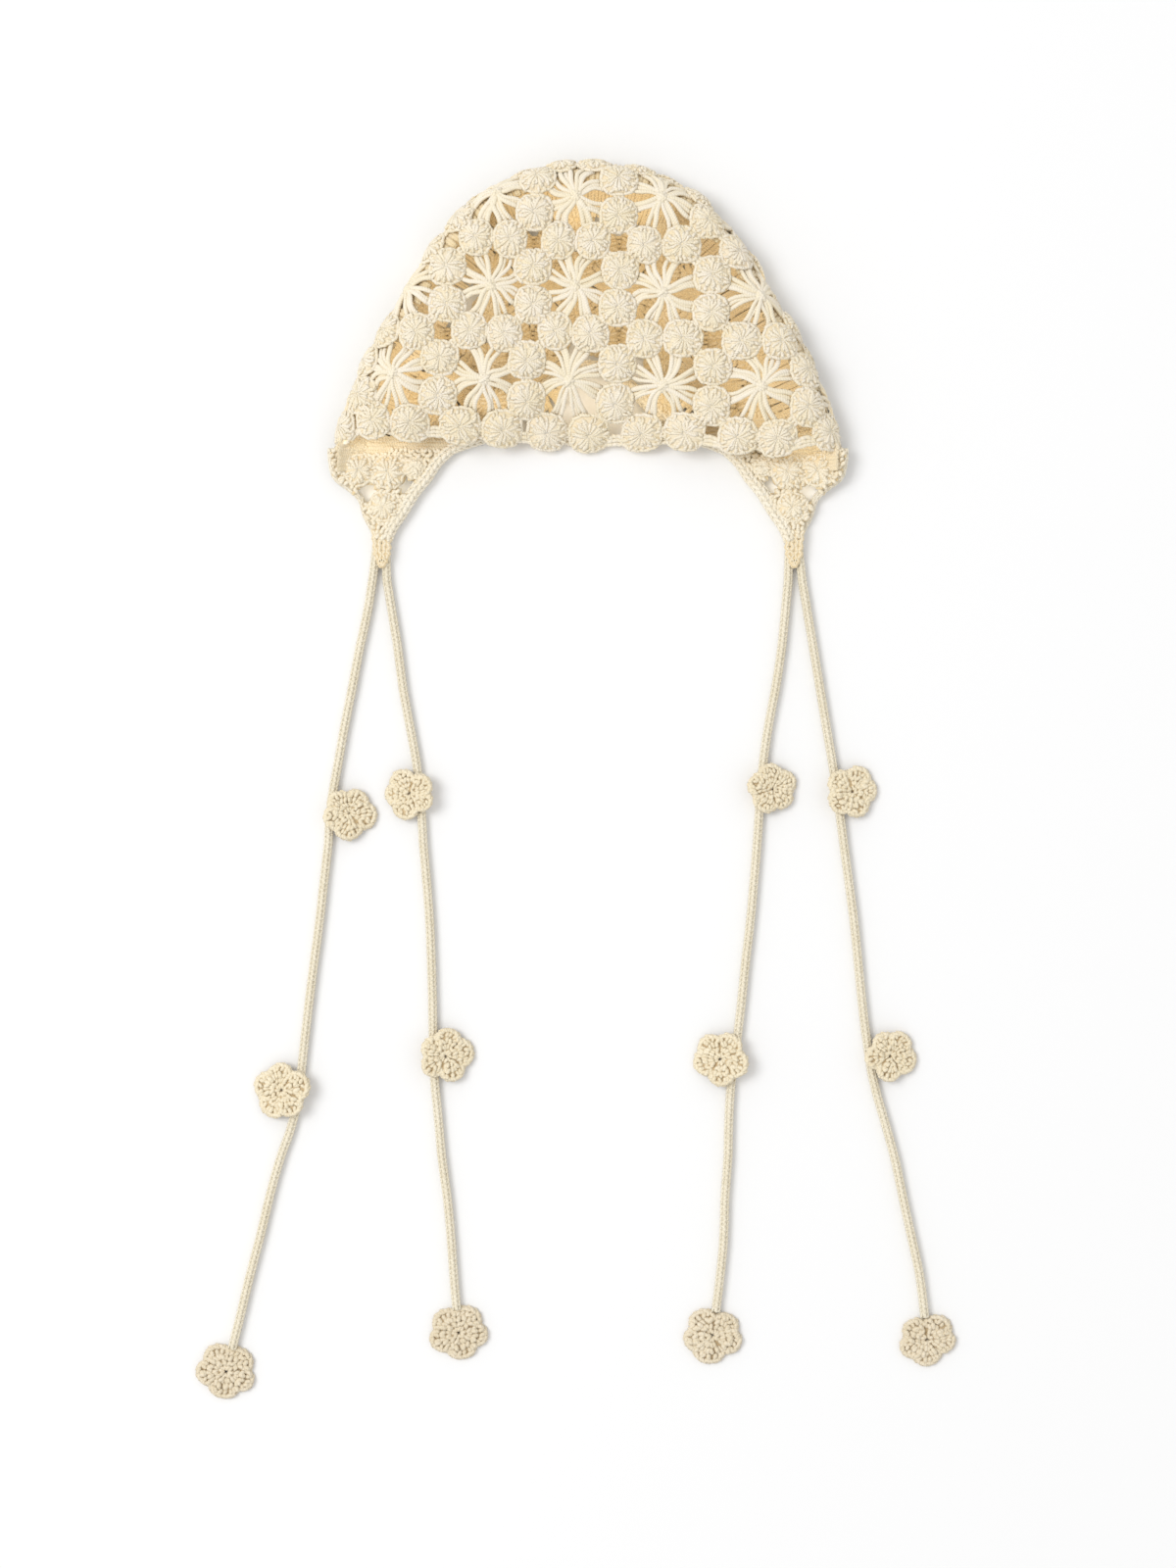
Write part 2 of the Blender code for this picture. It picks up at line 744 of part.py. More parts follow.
def build_flap(name, sign):
    """One ear flap: a flat tongue of net between its two bands."""
    seam = -SEAM_DROP - FIT
    inner = offset_line(OPENING_LINE[: len(OPENING_LINE) // 2], OPENING_BAND / 2 + FIT)
    inner = cut_line(cut_line(inner, seam, False), -NET_DROP, True)
    outer = cut_line(offset_line(FLAP_LINE, FLAP_BAND / 2 + FIT), -NET_DROP, True)
    seam_line = spaced_line([inner[-1], Vector((outer[0].x, seam))], ROUND_RADIUS)
    border = [*spaced_line(inner, FLAP_BAND), *seam_line[1:], *spaced_line(outer, FLAP_BAND)]
    loops = []
    for row in FLAP_ROUNDS:
        centre = Vector((-row.across * HALF_WIDTH, -row.drop * FLAP_DROP))
        base = polygon(centre, row.size * ROUND_RADIUS, ROUND_SIDES)
        loops.append(Loop(base, 0.0, "round"))
        loops.append(Loop([centre.lerp(p, ROUND_TOP) for p in base], ROUND_RISE, "top"))
    for gap in FLAP_GAPS:
        loops.append(Loop([Vector((-c.across * HALF_WIDTH, -c.drop * FLAP_DROP)) for c in gap], 0.0, "gap"))
    mesh = bmesh.new()
    faces = add_sheet(mesh, border, loops, flap_height, LOWER, 0.0, 0)
    backs = add_sheet(mesh, border, loops, flap_height, LOWER, WALL, 0)
    for a, b in zip(faces, backs):
        add_walls(mesh, a, b)
    if sign > 0:
        bmesh.ops.scale(mesh, verts=mesh.verts, vec=(-1, 1, 1))
    return finish_mesh(name, mesh, yarn(name + "_cotton", WARM_CREAM))


def add_tube(name, line, diameter, resolution, material):
    """A round cord along a line, with closed ends."""
    curve = bpy.data.curves.new(name, "CURVE")
    curve.dimensions = "3D"
    curve.bevel_depth = diameter / 2
    curve.bevel_resolution = resolution
    curve.use_fill_caps = True
    spline = curve.splines.new("POLY")
    spline.points.add(len(line) - 1)
    for point, spot in zip(spline.points, line):
        point.co = (*spot, 1.0)
    return add_object(name, curve, material)


def build_edgings():
    """The band round the opening, and the band on each flap's outer side."""
    cotton = yarn("edging_cotton", CREAM)
    middle = OPENING_BAND / 2 + SURFACE_GAP
    band = add_tube("opening_edging", [(p.x, p.y, middle) for p in OPENING_LINE], OPENING_BAND, 1, cotton)
    sides = []
    for name, sign in (("flap_edging_left", 1), ("flap_edging_right", -1)):
        low = FLAP_BAND / 2 + SURFACE_GAP
        line = []
        for p in FLAP_LINE:
            line.append((sign * p.x, p.y, low + (CREASE_HEIGHT - low - FLAP_BAND / 2) * flap_fade(p.y)))
        sides.append(add_tube(name, line, FLAP_BAND, 1, cotton))
    return [band, *sides]


def flap_tip(side):
    """The middle of a flap's tip, where its ties start."""
    across = (FLAP[-1].inner + FLAP[-1].outer) / 2 * HALF_WIDTH
    return Vector((-across if side == "left" else across, -FLAP_DROP - TIP_GAP))


def tie_line(name):
    """A tie's centreline in plan."""
    tip = flap_tip(name.split("_")[1])
    return smooth_line([tip + Vector((s.across, -s.down)) for s in TIE_ROUTES[name]], TIE_STEP)


def petal_ring(centre, radius, turn):
    """A flower's outline in plan, with its first notch at the turn."""
    shares = PETAL_OUTLINE * PETALS
    ring = []
    for i, share in enumerate(shares):
        angle = turn + 2 * math.pi * i / len(shares)
        ring.append(centre + Vector((math.cos(angle), math.sin(angle))) * radius * share)
    return ring


def build_flower(name, centre, radius, turn, height, material):
    """A five-petal flower whose underside stands at a height given for each plan point."""
    outline = petal_ring(centre, radius, turn)
    mesh = bmesh.new()
    rings = []
    for row in FLOWER_RINGS:
        points = [centre.lerp(p, row.size) for p in outline]
        rings.append([mesh.verts.new((p.x, p.y, height(p) + row.rise * FLOWER_THICKNESS)) for p in points])
    for below, above in zip(rings, rings[1:]):
        add_walls(mesh, below, above)
    for ring, rise in ((rings[0], 0.0), (rings[-1], FLOWER_MIDDLE)):
        middle = mesh.verts.new((centre.x, centre.y, height(centre) + rise * FLOWER_THICKNESS))
        for a, b in zip(ring, ring[1:] + ring[:1]):
            mesh.faces.new((a, b, middle))
    return finish_mesh(name, mesh, material)


def build_side_flower(row, tie, line, material):
    """A flower sewn over the side of a tie, propped on it, with its far petals on the surface."""
    centre = flap_tip(tie.split("_")[1]) + Vector((row.across, -row.down))
    towards = (nearest_on(line, centre) - centre).normalized()
    near = row.radius + TIE_DIAMETER
    under = [p for p in spaced_line(line, TIE_DIAMETER / 4) if (p - centre).length < near]
    reach = min((p - centre).dot(towards) for p in under)
    slope = (TIE_DIAMETER + 2 * SURFACE_GAP + FIT) / (reach + row.radius)

    def height(point):
        return max(0.0, slope * ((point - centre).dot(towards) + row.radius))

    return build_flower(row.name, centre, row.radius, math.radians(row.turn), height, material)


def build_end_flower(tie, line, material):
    """The flower at a tie's end, lying on the surface with a notch at the tie."""
    radius = END_FLOWER_RADIUS[tie]
    run = (line[-1] - line[-2]).normalized()
    centre = line[-1] + run * (radius * PETAL_OUTLINE[0] + TIE_DIAMETER * END_STAND_OFF + FIT)
    turn = math.atan2(-run.y, -run.x)
    name = tie.replace("tie", "flower") + "_end"
    return build_flower(name, centre, radius, turn, lambda point: 0.0, material)


def build_ties():
    """The four ties with their flowers."""
    cotton = yarn("tie_cotton", TIE_CREAM)
    petals = yarn("flower_cotton", TIE_CREAM)
    pieces = []
    for tie in TIE_ROUTES:
        line = tie_line(tie)
        middle = TIE_DIAMETER / 2 + SURFACE_GAP
        pieces.append(add_tube(tie, [(p.x, p.y, middle) for p in line], TIE_DIAMETER, 2, cotton))
        for row in SIDE_FLOWERS[tie]:
            pieces.append(build_side_flower(row, tie, line, petals))
        pieces.append(build_end_flower(tie, line, petals))
    return pieces


def middle_of(pieces):
    """The middle of the pieces' box in plan."""
    graph = bpy.context.evaluated_depsgraph_get()
    corners = [v.co.xy for piece in pieces for v in piece.evaluated_get(graph).to_mesh().vertices]
    low = Vector([min(c[k] for c in corners) for k in range(2)])
    high = Vector([max(c[k] for c in corners) for k in range(2)])
    return (low + high) / 2


def main():
    """Builds every piece and moves them over the origin."""
    for piece in list(bpy.data.objects):
        bpy.data.objects.remove(piece, do_unlink=True)
    hat = [build_crown(), build_flap("ear_flap_left", -1), build_flap("ear_flap_right", 1), *build_edgings()]
    ties = build_ties()
    middle = middle_of(hat)
    for piece in [*hat, *ties]:
        piece.location = (-middle.x, -middle.y, 0)
        if piece.type == "MESH":
            piece.data.shade_smooth()
            piece.data.set_sharp_from_angle(angle=math.radians(40))


main()
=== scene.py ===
"""Looks of a crocheted openwork bonnet with ear flaps and flower ties, lying flat on a pale floor.

Row frame, metres: X to the viewer's right, Y from the flap tips to the top of the crown, Z 0 on the floor.
The crown is two nets of domed rounds and star motifs that share a crease. Every stitch is a short strand of
yarn, drawn as a swept tube, and the strands of a piece are joined in one mesh.
"""

import logging
import math
from collections.abc import Callable
from dataclasses import dataclass, field
from enum import Enum
from functools import cache, partial

import bmesh
import bpy
import numpy as np
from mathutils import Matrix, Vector


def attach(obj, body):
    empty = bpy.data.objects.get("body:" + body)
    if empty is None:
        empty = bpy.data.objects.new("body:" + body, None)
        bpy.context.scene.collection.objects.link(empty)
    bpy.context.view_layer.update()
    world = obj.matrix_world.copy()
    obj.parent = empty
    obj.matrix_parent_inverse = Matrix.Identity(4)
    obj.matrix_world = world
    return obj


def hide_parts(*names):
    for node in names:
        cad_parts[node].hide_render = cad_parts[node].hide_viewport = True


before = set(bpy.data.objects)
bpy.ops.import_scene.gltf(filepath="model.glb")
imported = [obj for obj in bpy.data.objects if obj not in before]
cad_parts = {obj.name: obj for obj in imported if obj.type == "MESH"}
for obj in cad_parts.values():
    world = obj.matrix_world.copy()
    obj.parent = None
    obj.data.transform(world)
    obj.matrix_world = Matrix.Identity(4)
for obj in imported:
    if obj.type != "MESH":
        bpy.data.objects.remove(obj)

LOG = logging.getLogger("bonnet")
BODY = "root"
MM = 0.001

Row = tuple[float, ...]
Tree = bpy.types.NodeTree
Socket = bpy.types.NodeSocket
Lay = Callable[[np.ndarray], tuple[np.ndarray, np.ndarray]]


class Side(Enum):
    """Which face of the folded crown a motif is on."""

    UPPER = 1
    LOWER = -1


def table(rows: tuple[Row, ...]) -> np.ndarray:
    """A table of numbers as an array, one row each."""
    return np.array(rows, dtype=float)


# The crease, half of it: rise and half width, as shares of the crown's height and half width.
CREASE = table(
    (
        (0.00, 1.000), (0.10, 0.972), (0.20, 0.930), (0.30, 0.882), (0.40, 0.825),
        (0.50, 0.755), (0.60, 0.690), (0.70, 0.622), (0.80, 0.530), (0.88, 0.438),
        (0.94, 0.315), (0.98, 0.185), (1.00, 0.000),
    )
)

# The upper rim: across as a share of the half width, curl and height as shares of their sizes.
RIM = table(
    (
        (-1.00, 0.00, 0.40), (-0.94, 0.45, 0.58), (-0.86, 1.00, 0.68), (-0.77, 0.75, 0.72),
        (-0.69, 0.00, 0.68), (-0.60, 0.55, 0.60), (-0.49, 0.00, 0.52), (-0.36, -0.10, 0.42),
        (-0.21, 0.10, 0.20), (-0.08, 0.00, 0.13), (0.08, 0.10, 0.13), (0.21, 0.20, 0.20),
        (0.35, 0.00, 0.42), (0.47, -0.30, 0.52), (0.56, -0.70, 0.60), (0.64, -0.90, 0.64),
        (0.74, -0.70, 0.70), (0.84, 0.10, 0.72), (0.93, 0.00, 0.60), (1.00, 0.00, 0.40),
    )
)

# The middle of the opening's band over the arch, half of it: rise and across.
ARCH = table(
    (
        (0.07, 0.459), (0.16, 0.376), (0.32, 0.300), (0.54, 0.226),
        (0.78, 0.150), (0.96, 0.060), (1.00, 0.000),
    )
)

# The middles of a flap's two bands: drop, inner and outer.
FLAP = table(
    (
        (0.00, 0.520, 0.985), (0.04, 0.537, 0.985), (0.10, 0.562, 0.984), (0.20, 0.592, 0.980),
        (0.32, 0.617, 0.966), (0.42, 0.649, 0.916), (0.54, 0.679, 0.871), (0.66, 0.703, 0.859),
        (0.76, 0.728, 0.847), (0.86, 0.752, 0.825), (1.00, 0.772, 0.811),
    )
)

# A flap's rounds: across, drop, and radius as a share of a crown round's.
FLAP_ROUNDS = table(
    (
        (0.880, 0.232, 0.87),
        (0.767, 0.245, 0.91),
        (0.668, 0.195, 0.50),
        (0.785, 0.628, 0.80),
    )
)

# A flap's gaps: across, drop, and radius in millimetres.
FLAP_GAPS = table(
    (
        (0.848, 0.468, 4.2),
        (0.700, 0.405, 3.7),
    )
)

# How far the open pocket over each flap reaches down into it: millimetres across, and down.
POCKETS = {
    -1: table(((98.0, 0.0), (106.0, 1.6), (118.0, 4.4), (132.0, 6.8))),
    1: table(((97.0, 0.0), (103.0, 4.2), (114.0, 4.4), (121.0, 0.0))),
}

# The lower net's columns across and rows up from the rim line, as shares of the half width and of the height.
COLUMNS = np.array((-1.0427, -0.7073, -0.3752, -0.0465, 0.2856, 0.6575, 1.0128))
ROWS = np.array((-0.0714, 0.2289, 0.5351, 0.8592, 1.1476))
COLUMN_PITCH = 0.3321

# The upper net's stars, charted: millimetres across and up from the rim line, a row of the net each.
# The first and last rows and columns are off the crown, and only place the rounds beside them.
STAR_CHART = np.array(
    (
        (
            (-137.0, -13.5), (-102.0, -11.5), (-55.5, -13.5), (-11.5, -17.5),
            (38.5, -15.0), (84.0, -20.5), (131.0, -15.5),
        ),
        (
            (-134.0, 36.5), (-98.0, 36.5), (-52.5, 34.0), (-9.5, 33.5),
            (38.0, 31.0), (87.5, 30.0), (135.0, 29.5),
        ),
        (
            (-137.0, 80.5), (-93.0, 80.5), (-49.0, 80.5), (-6.5, 80.5),
            (37.5, 77.0), (87.0, 75.5), (134.0, 75.0),
        ),
        (
            (-132.5, 127.0), (-89.5, 128.0), (-46.5, 128.5), (-6.0, 125.5),
            (37.0, 125.0), (85.0, 122.0), (133.0, 120.0),
        ),
        (
            (-128.0, 172.0), (-86.0, 174.0), (-44.0, 175.0), (-5.0, 172.0),
            (37.0, 172.0), (83.5, 168.0), (130.0, 166.0),
        ),
    )
)


def tie_route(last: float, across: Row) -> np.ndarray:
    """A tie's route down from its flap's tip.

    Args:
        last: How far down it ends, in millimetres.
        across: Millimetres across at the tip, at 13 mm down and every 20 mm from there, and at the end.

    Returns:
        Millimetres across and down, one row a point.
    """
    first, pitch = 13.0, 20.0
    downs = [0.0, *(first + pitch * np.arange(len(across) - 2)), last]
    return np.column_stack([across, downs])


# The ties' routes, listed.
TIE_ROUTES = {
    "left_outer": tie_route(
        410.0,
        (
            -2.7, -4.2, -7.2, -11.5, -15.2, -19.2, -22.7, -26.2, -27.5, -29.8, -32.0, -34.7, -37.2, -39.5,
            -41.8, -45.0, -52.0, -57.5, -62.2, -67.5, -72.2, -76.5,
        ),
    ),
    "left_inner": tie_route(
        390.0,
        (
            2.7, 1.8, 4.8, 8.0, 10.5, 14.2, 17.8, 19.8, 21.0, 22.8, 24.3, 25.1, 25.7, 26.0, 26.7, 28.7,
            30.5, 33.2, 35.1, 36.5, 38.0,
        ),
    ),
    "right_inner": tie_route(
        391.0,
        (
            -2.7, -2.5, -4.2, -6.2, -9.2, -13.0, -15.8, -17.4, -18.7, -20.4, -22.2, -24.6, -26.6, -29.0,
            -31.8, -33.1, -33.5, -35.1, -35.6, -37.5, -39.8,
        ),
    ),
    "right_outer": tie_route(
        394.0,
        (
            2.7, 3.5, 6.7, 10.0, 13.3, 16.6, 20.0, 22.9, 25.5, 28.2, 30.8, 32.8, 34.8, 37.2, 40.4, 46.0,
            51.5, 55.6, 60.0, 64.3, 66.8,
        ),
    ),
}


# ---------------------------------------------------------------------------------------------- lines


def smooth_line(points: np.ndarray, step: float) -> np.ndarray:
    """A smooth curve through the points, as evenly spaced points about a step apart.

    Args:
        points: The points it passes through, one row each.
        step: The spacing in metres.

    Returns:
        The curve's points, one row each.
    """
    ends = np.vstack([2 * points[0] - points[1], points, 2 * points[-1] - points[-2]])
    parts = 8
    t = (np.arange(parts) / parts)[None, :, None]
    a, b, c, d = (ends[k : len(ends) - 3 + k][:, None, :] for k in range(4))
    bend = 2 * a - 5 * b + 4 * c - d
    twist = 3 * b - a - 3 * c + d
    curve = (2 * b + (c - a) * t + bend * t**2 + twist * t**3) / 2
    return spaced_line(np.vstack([curve.reshape(-1, points.shape[1]), points[-1:]]), step)


def spaced_line(line: np.ndarray, step: float) -> np.ndarray:
    """The line again, with evenly spaced points about a step apart.

    Args:
        line: The line's points, one row each.
        step: The spacing in metres.

    Returns:
        The new points, one row each.
    """
    along = arc_of(line)
    at = np.linspace(0.0, along[-1], max(1, round(along[-1] / step)) + 1)
    return read_off(at, along, line)


def read_off(at: np.ndarray, grid: np.ndarray, values: np.ndarray) -> np.ndarray:
    """Each column of the values, read off where the given places lie on a grid."""
    return np.stack([np.interp(at, grid, column) for column in values.T], axis=-1)


def left_of(runs: np.ndarray) -> np.ndarray:
    """The plan directions a quarter turn to the left."""
    return np.stack([-runs[..., 1], runs[..., 0]], axis=-1)


def polar(angle: np.ndarray, out: np.ndarray | float, lift: np.ndarray) -> np.ndarray:
    """Places round a middle, from their directions, distances and heights."""
    return np.stack([np.cos(angle) * out, np.sin(angle) * out, lift], axis=-1)


def link(name: str, data: bpy.types.ID) -> bpy.types.Object:
    """Makes an object and puts it in the scene.

    Args:
        name: Its name.
        data: Its mesh, light or camera.

    Returns:
        The object, at the origin.
    """
    made = bpy.data.objects.new(name, data)
    bpy.context.scene.collection.objects.link(made)
    return made


def arc_of(line: np.ndarray) -> np.ndarray:
    """The length along the line up to each of its points."""
    steps = np.linalg.norm(np.diff(line, axis=0), axis=1)
    return np.concatenate([[0.0], np.cumsum(steps)])


def runs_of(line: np.ndarray) -> np.ndarray:
    """The unit direction of the line at each of its points."""
    runs = np.gradient(line, axis=0)
    return runs / np.linalg.norm(runs, axis=1, keepdims=True)


def unit(vectors: np.ndarray) -> np.ndarray:
    """The vectors with length one."""
    return vectors / np.maximum(np.linalg.norm(vectors, axis=-1, keepdims=True), 1e-12)


def nearest(line: np.ndarray, points: np.ndarray) -> tuple[np.ndarray, np.ndarray]:
    """The distance from each plan point to a plan line.

    Args:
        line: The line's points, one row each.
        points: The plan points, one row each.

    Returns:
        The distances, and the places along the line, counted in its points.
    """
    a, b = line[:-1], line[1:]
    run = b - a
    share = np.clip(((points[:, None] - a) * run).sum(-1) / (run**2).sum(-1), 0.0, 1.0)
    far = np.linalg.norm(points[:, None] - a - run * share[..., None], axis=-1)
    best = far.argmin(axis=1)
    rows = np.arange(len(points))
    return far[rows, best], best + share[rows, best]


def along(line: np.ndarray, places: np.ndarray) -> np.ndarray:
    """The line's values at places that are counted in its points."""
    return read_off(places, np.arange(len(line)), line)


def within(x: float, y: float, circles: np.ndarray) -> bool:
    """Whether a plan place is inside one of the circles, which are rows of place and radius."""
    return any(math.hypot(x - a, y - b) < size for a, b, size in circles)


def in_loop(loop: np.ndarray, points: np.ndarray) -> np.ndarray:
    """Whether each plan point is inside a closed plan loop.

    Args:
        loop: The loop's points, one row each.
        points: The plan points, one row each.

    Returns:
        True for each point that is inside.
    """
    after = np.roll(loop, -1, axis=0)
    x, y = points[:, :1], points[:, 1:]
    over = (loop[:, 1] > y) != (after[:, 1] > y)
    rise = np.where(loop[:, 1] == after[:, 1], 1.0, after[:, 1] - loop[:, 1])
    at = loop[:, 0] + (after[:, 0] - loop[:, 0]) * (y - loop[:, 1]) / rise
    return (over & (x < at)).sum(axis=1) % 2 == 1


# ---------------------------------------------------------------------------------------------- shape


@dataclass
class HatShape:
    """The folded crown's and the flaps' main form, the same as the solids'.

    Plan points are on the crown's own lines, with Y 0 on the rim line. to_row moves them to the row frame.
    """

    half_width: float = 0.1325
    height: float = 0.148
    crease_height: float = 0.0105
    body_height: float = 0.026
    upper_shoulder: float = 0.030
    lower_shoulder: float = 0.016
    rim_slope: float = 0.060
    rim_curl: float = 0.0055
    seam_drop: float = 0.001
    arch_rise: float = 0.041
    round_rise: float = 0.0042
    wall: float = 0.0026
    flap_drop: float = 0.047
    flap_fall: float = 0.75
    tip_gap: float = 0.0014
    middle: float = 0.050
    tail: float = 0.060
    crease_step: float = 0.004
    opening_step: float = 0.003
    flap_step: float = 0.002
    crease: np.ndarray = field(init=False)
    border: np.ndarray = field(init=False)
    border_out: np.ndarray = field(init=False)
    rim: np.ndarray = field(init=False)
    opening: np.ndarray = field(init=False)
    flap_outer: np.ndarray = field(init=False)

    def __post_init__(self) -> None:
        """Lays out the crease, the rim, the opening's band and a flap's outer band."""
        left = np.stack([-CREASE[:, 1] * self.half_width, CREASE[:, 0] * self.height], axis=1)
        left[0, 1] = -self.seam_drop
        self.crease = smooth_line(np.vstack([left, left[-2::-1] * (-1, 1)]), self.crease_step)
        tails = self.crease[[0, -1]] - (0.0, self.tail)
        self.border = np.vstack([tails[:1], self.crease, tails[1:]])
        self.border_out = left_of(runs_of(self.border))
        rim = np.stack([RIM[:, 0] * self.half_width, RIM[:, 1] * self.rim_curl], axis=1)
        self.rim = smooth_line(rim, self.crease_step)
        inner = self.flap_side(1)[::-1]
        arch = np.stack([-ARCH[:, 1] * self.half_width, ARCH[:, 0] * self.arch_rise], axis=1)
        half = np.vstack([inner, arch])
        self.opening = smooth_line(np.vstack([half, half[-2::-1] * (-1, 1)]), self.opening_step)
        self.flap_outer = smooth_line(self.flap_side(2)[1:], self.flap_step)

    def flap_side(self, column: int) -> np.ndarray:
        """The middle of one of the left flap's bands, from the seam to the tip."""
        return np.stack([-FLAP[:, column] * self.half_width, -FLAP[:, 0] * self.flap_drop], axis=1)

    def flap_tip(self, sign: int) -> np.ndarray:
        """The middle of a flap's tip: sign is -1 for the left flap and 1 for the right."""
        across = (FLAP[-1, 1] + FLAP[-1, 2]) / 2 * self.half_width
        return np.array([sign * across, -self.flap_drop - self.tip_gap])

    def to_row(self, points: np.ndarray) -> np.ndarray:
        """The points in the row frame.

        Args:
            points: Plan points or places, one row each.

        Returns:
            A moved copy.
        """
        moved = points.copy()
        moved[..., 1] -= self.middle
        return moved

    def body_at(self, points: np.ndarray) -> np.ndarray:
        """The crown's height over each plan point, before it rounds down to the crease.

        Args:
            points: Plan points, one row each.

        Returns:
            Heights over the floor.
        """
        across = points[:, 0] / self.half_width
        rim = np.interp(across, RIM[:, 0], RIM[:, 1]) * self.rim_curl
        low = np.interp(across, RIM[:, 0], RIM[:, 2]) * self.body_height
        up = np.clip((points[:, 1] - rim) / self.rim_slope, 0.0, 1.0)
        return low + (self.body_height - low) * np.sin(up * math.pi / 2)

    def profile(self, side: Side, near: np.ndarray, body: np.ndarray) -> np.ndarray:
        """The outer face's height at distances from the crease.

        Args:
            side: The face.
            near: Distances inwards from the crease.
            body: The crown's height there.

        Returns:
            Heights over the floor.
        """
        if side is Side.LOWER:
            fold = np.maximum(0.0, 1 - near / self.lower_shoulder) ** 2
            return self.round_rise + (self.crease_height - self.round_rise) * fold
        fold = 1 - np.minimum(1.0, near / self.upper_shoulder)
        return self.crease_height + (body - self.crease_height) * np.sqrt(1 - fold**2)

    def height_at(self, side: Side, points: np.ndarray) -> np.ndarray:
        """The outer face's height over each plan point."""
        return self.profile(side, nearest(self.crease, points)[0], self.body_at(points))

    def flap_fade(self, y: np.ndarray) -> np.ndarray:
        """How much of the crease's height is left down a flap: all at the seam, none at its tip."""
        down = np.clip(-(y + self.seam_drop) / (self.flap_drop * self.flap_fall), 0.0, 1.0)
        return (1 + np.cos(math.pi * down)) / 2

    def flap_height(self, points: np.ndarray) -> np.ndarray:
        """The height of a flap's underside over each plan point.

        Args:
            points: Plan points, one row each.

        Returns:
            Heights over the floor.
        """
        left = np.stack([-np.abs(points[:, 0]), points[:, 1]], axis=1)
        fold = np.maximum(0.0, 1 - nearest(self.flap_outer, left)[0] / self.lower_shoulder) ** 2
        return self.round_rise + (self.crease_height - self.round_rise) * fold * self.flap_fade(points[:, 1])

    def inset(self, points: np.ndarray) -> tuple[np.ndarray, np.ndarray]:
        """How far inside the crease each plan point is, and the outward direction there."""
        far, place = nearest(self.border, points)
        return np.where(in_loop(self.border, points), far, -far), unit(along(self.border_out, place))

    def on_face(self, side: Side, points: np.ndarray) -> np.ndarray:
        """Whether plan points are on a face: inside the crease, and above the rim or the opening's band."""
        edge = self.rim if side is Side.UPPER else self.lower_edge()
        return in_loop(np.vstack([self.crease, edge[::-1]]), points)

    def lower_edge(self) -> np.ndarray:
        """The lower face's edge from left to right: the seam, the arch and the other seam.

        Returns:
            Plan points, one row each.
        """
        arch = self.opening[self.opening[:, 1] > -self.seam_drop]
        left = [[-self.half_width, -self.seam_drop], [arch[0, 0], -self.seam_drop]]
        right = [[arch[-1, 0], -self.seam_drop], [self.half_width, -self.seam_drop]]
        return np.vstack([left, arch, right])


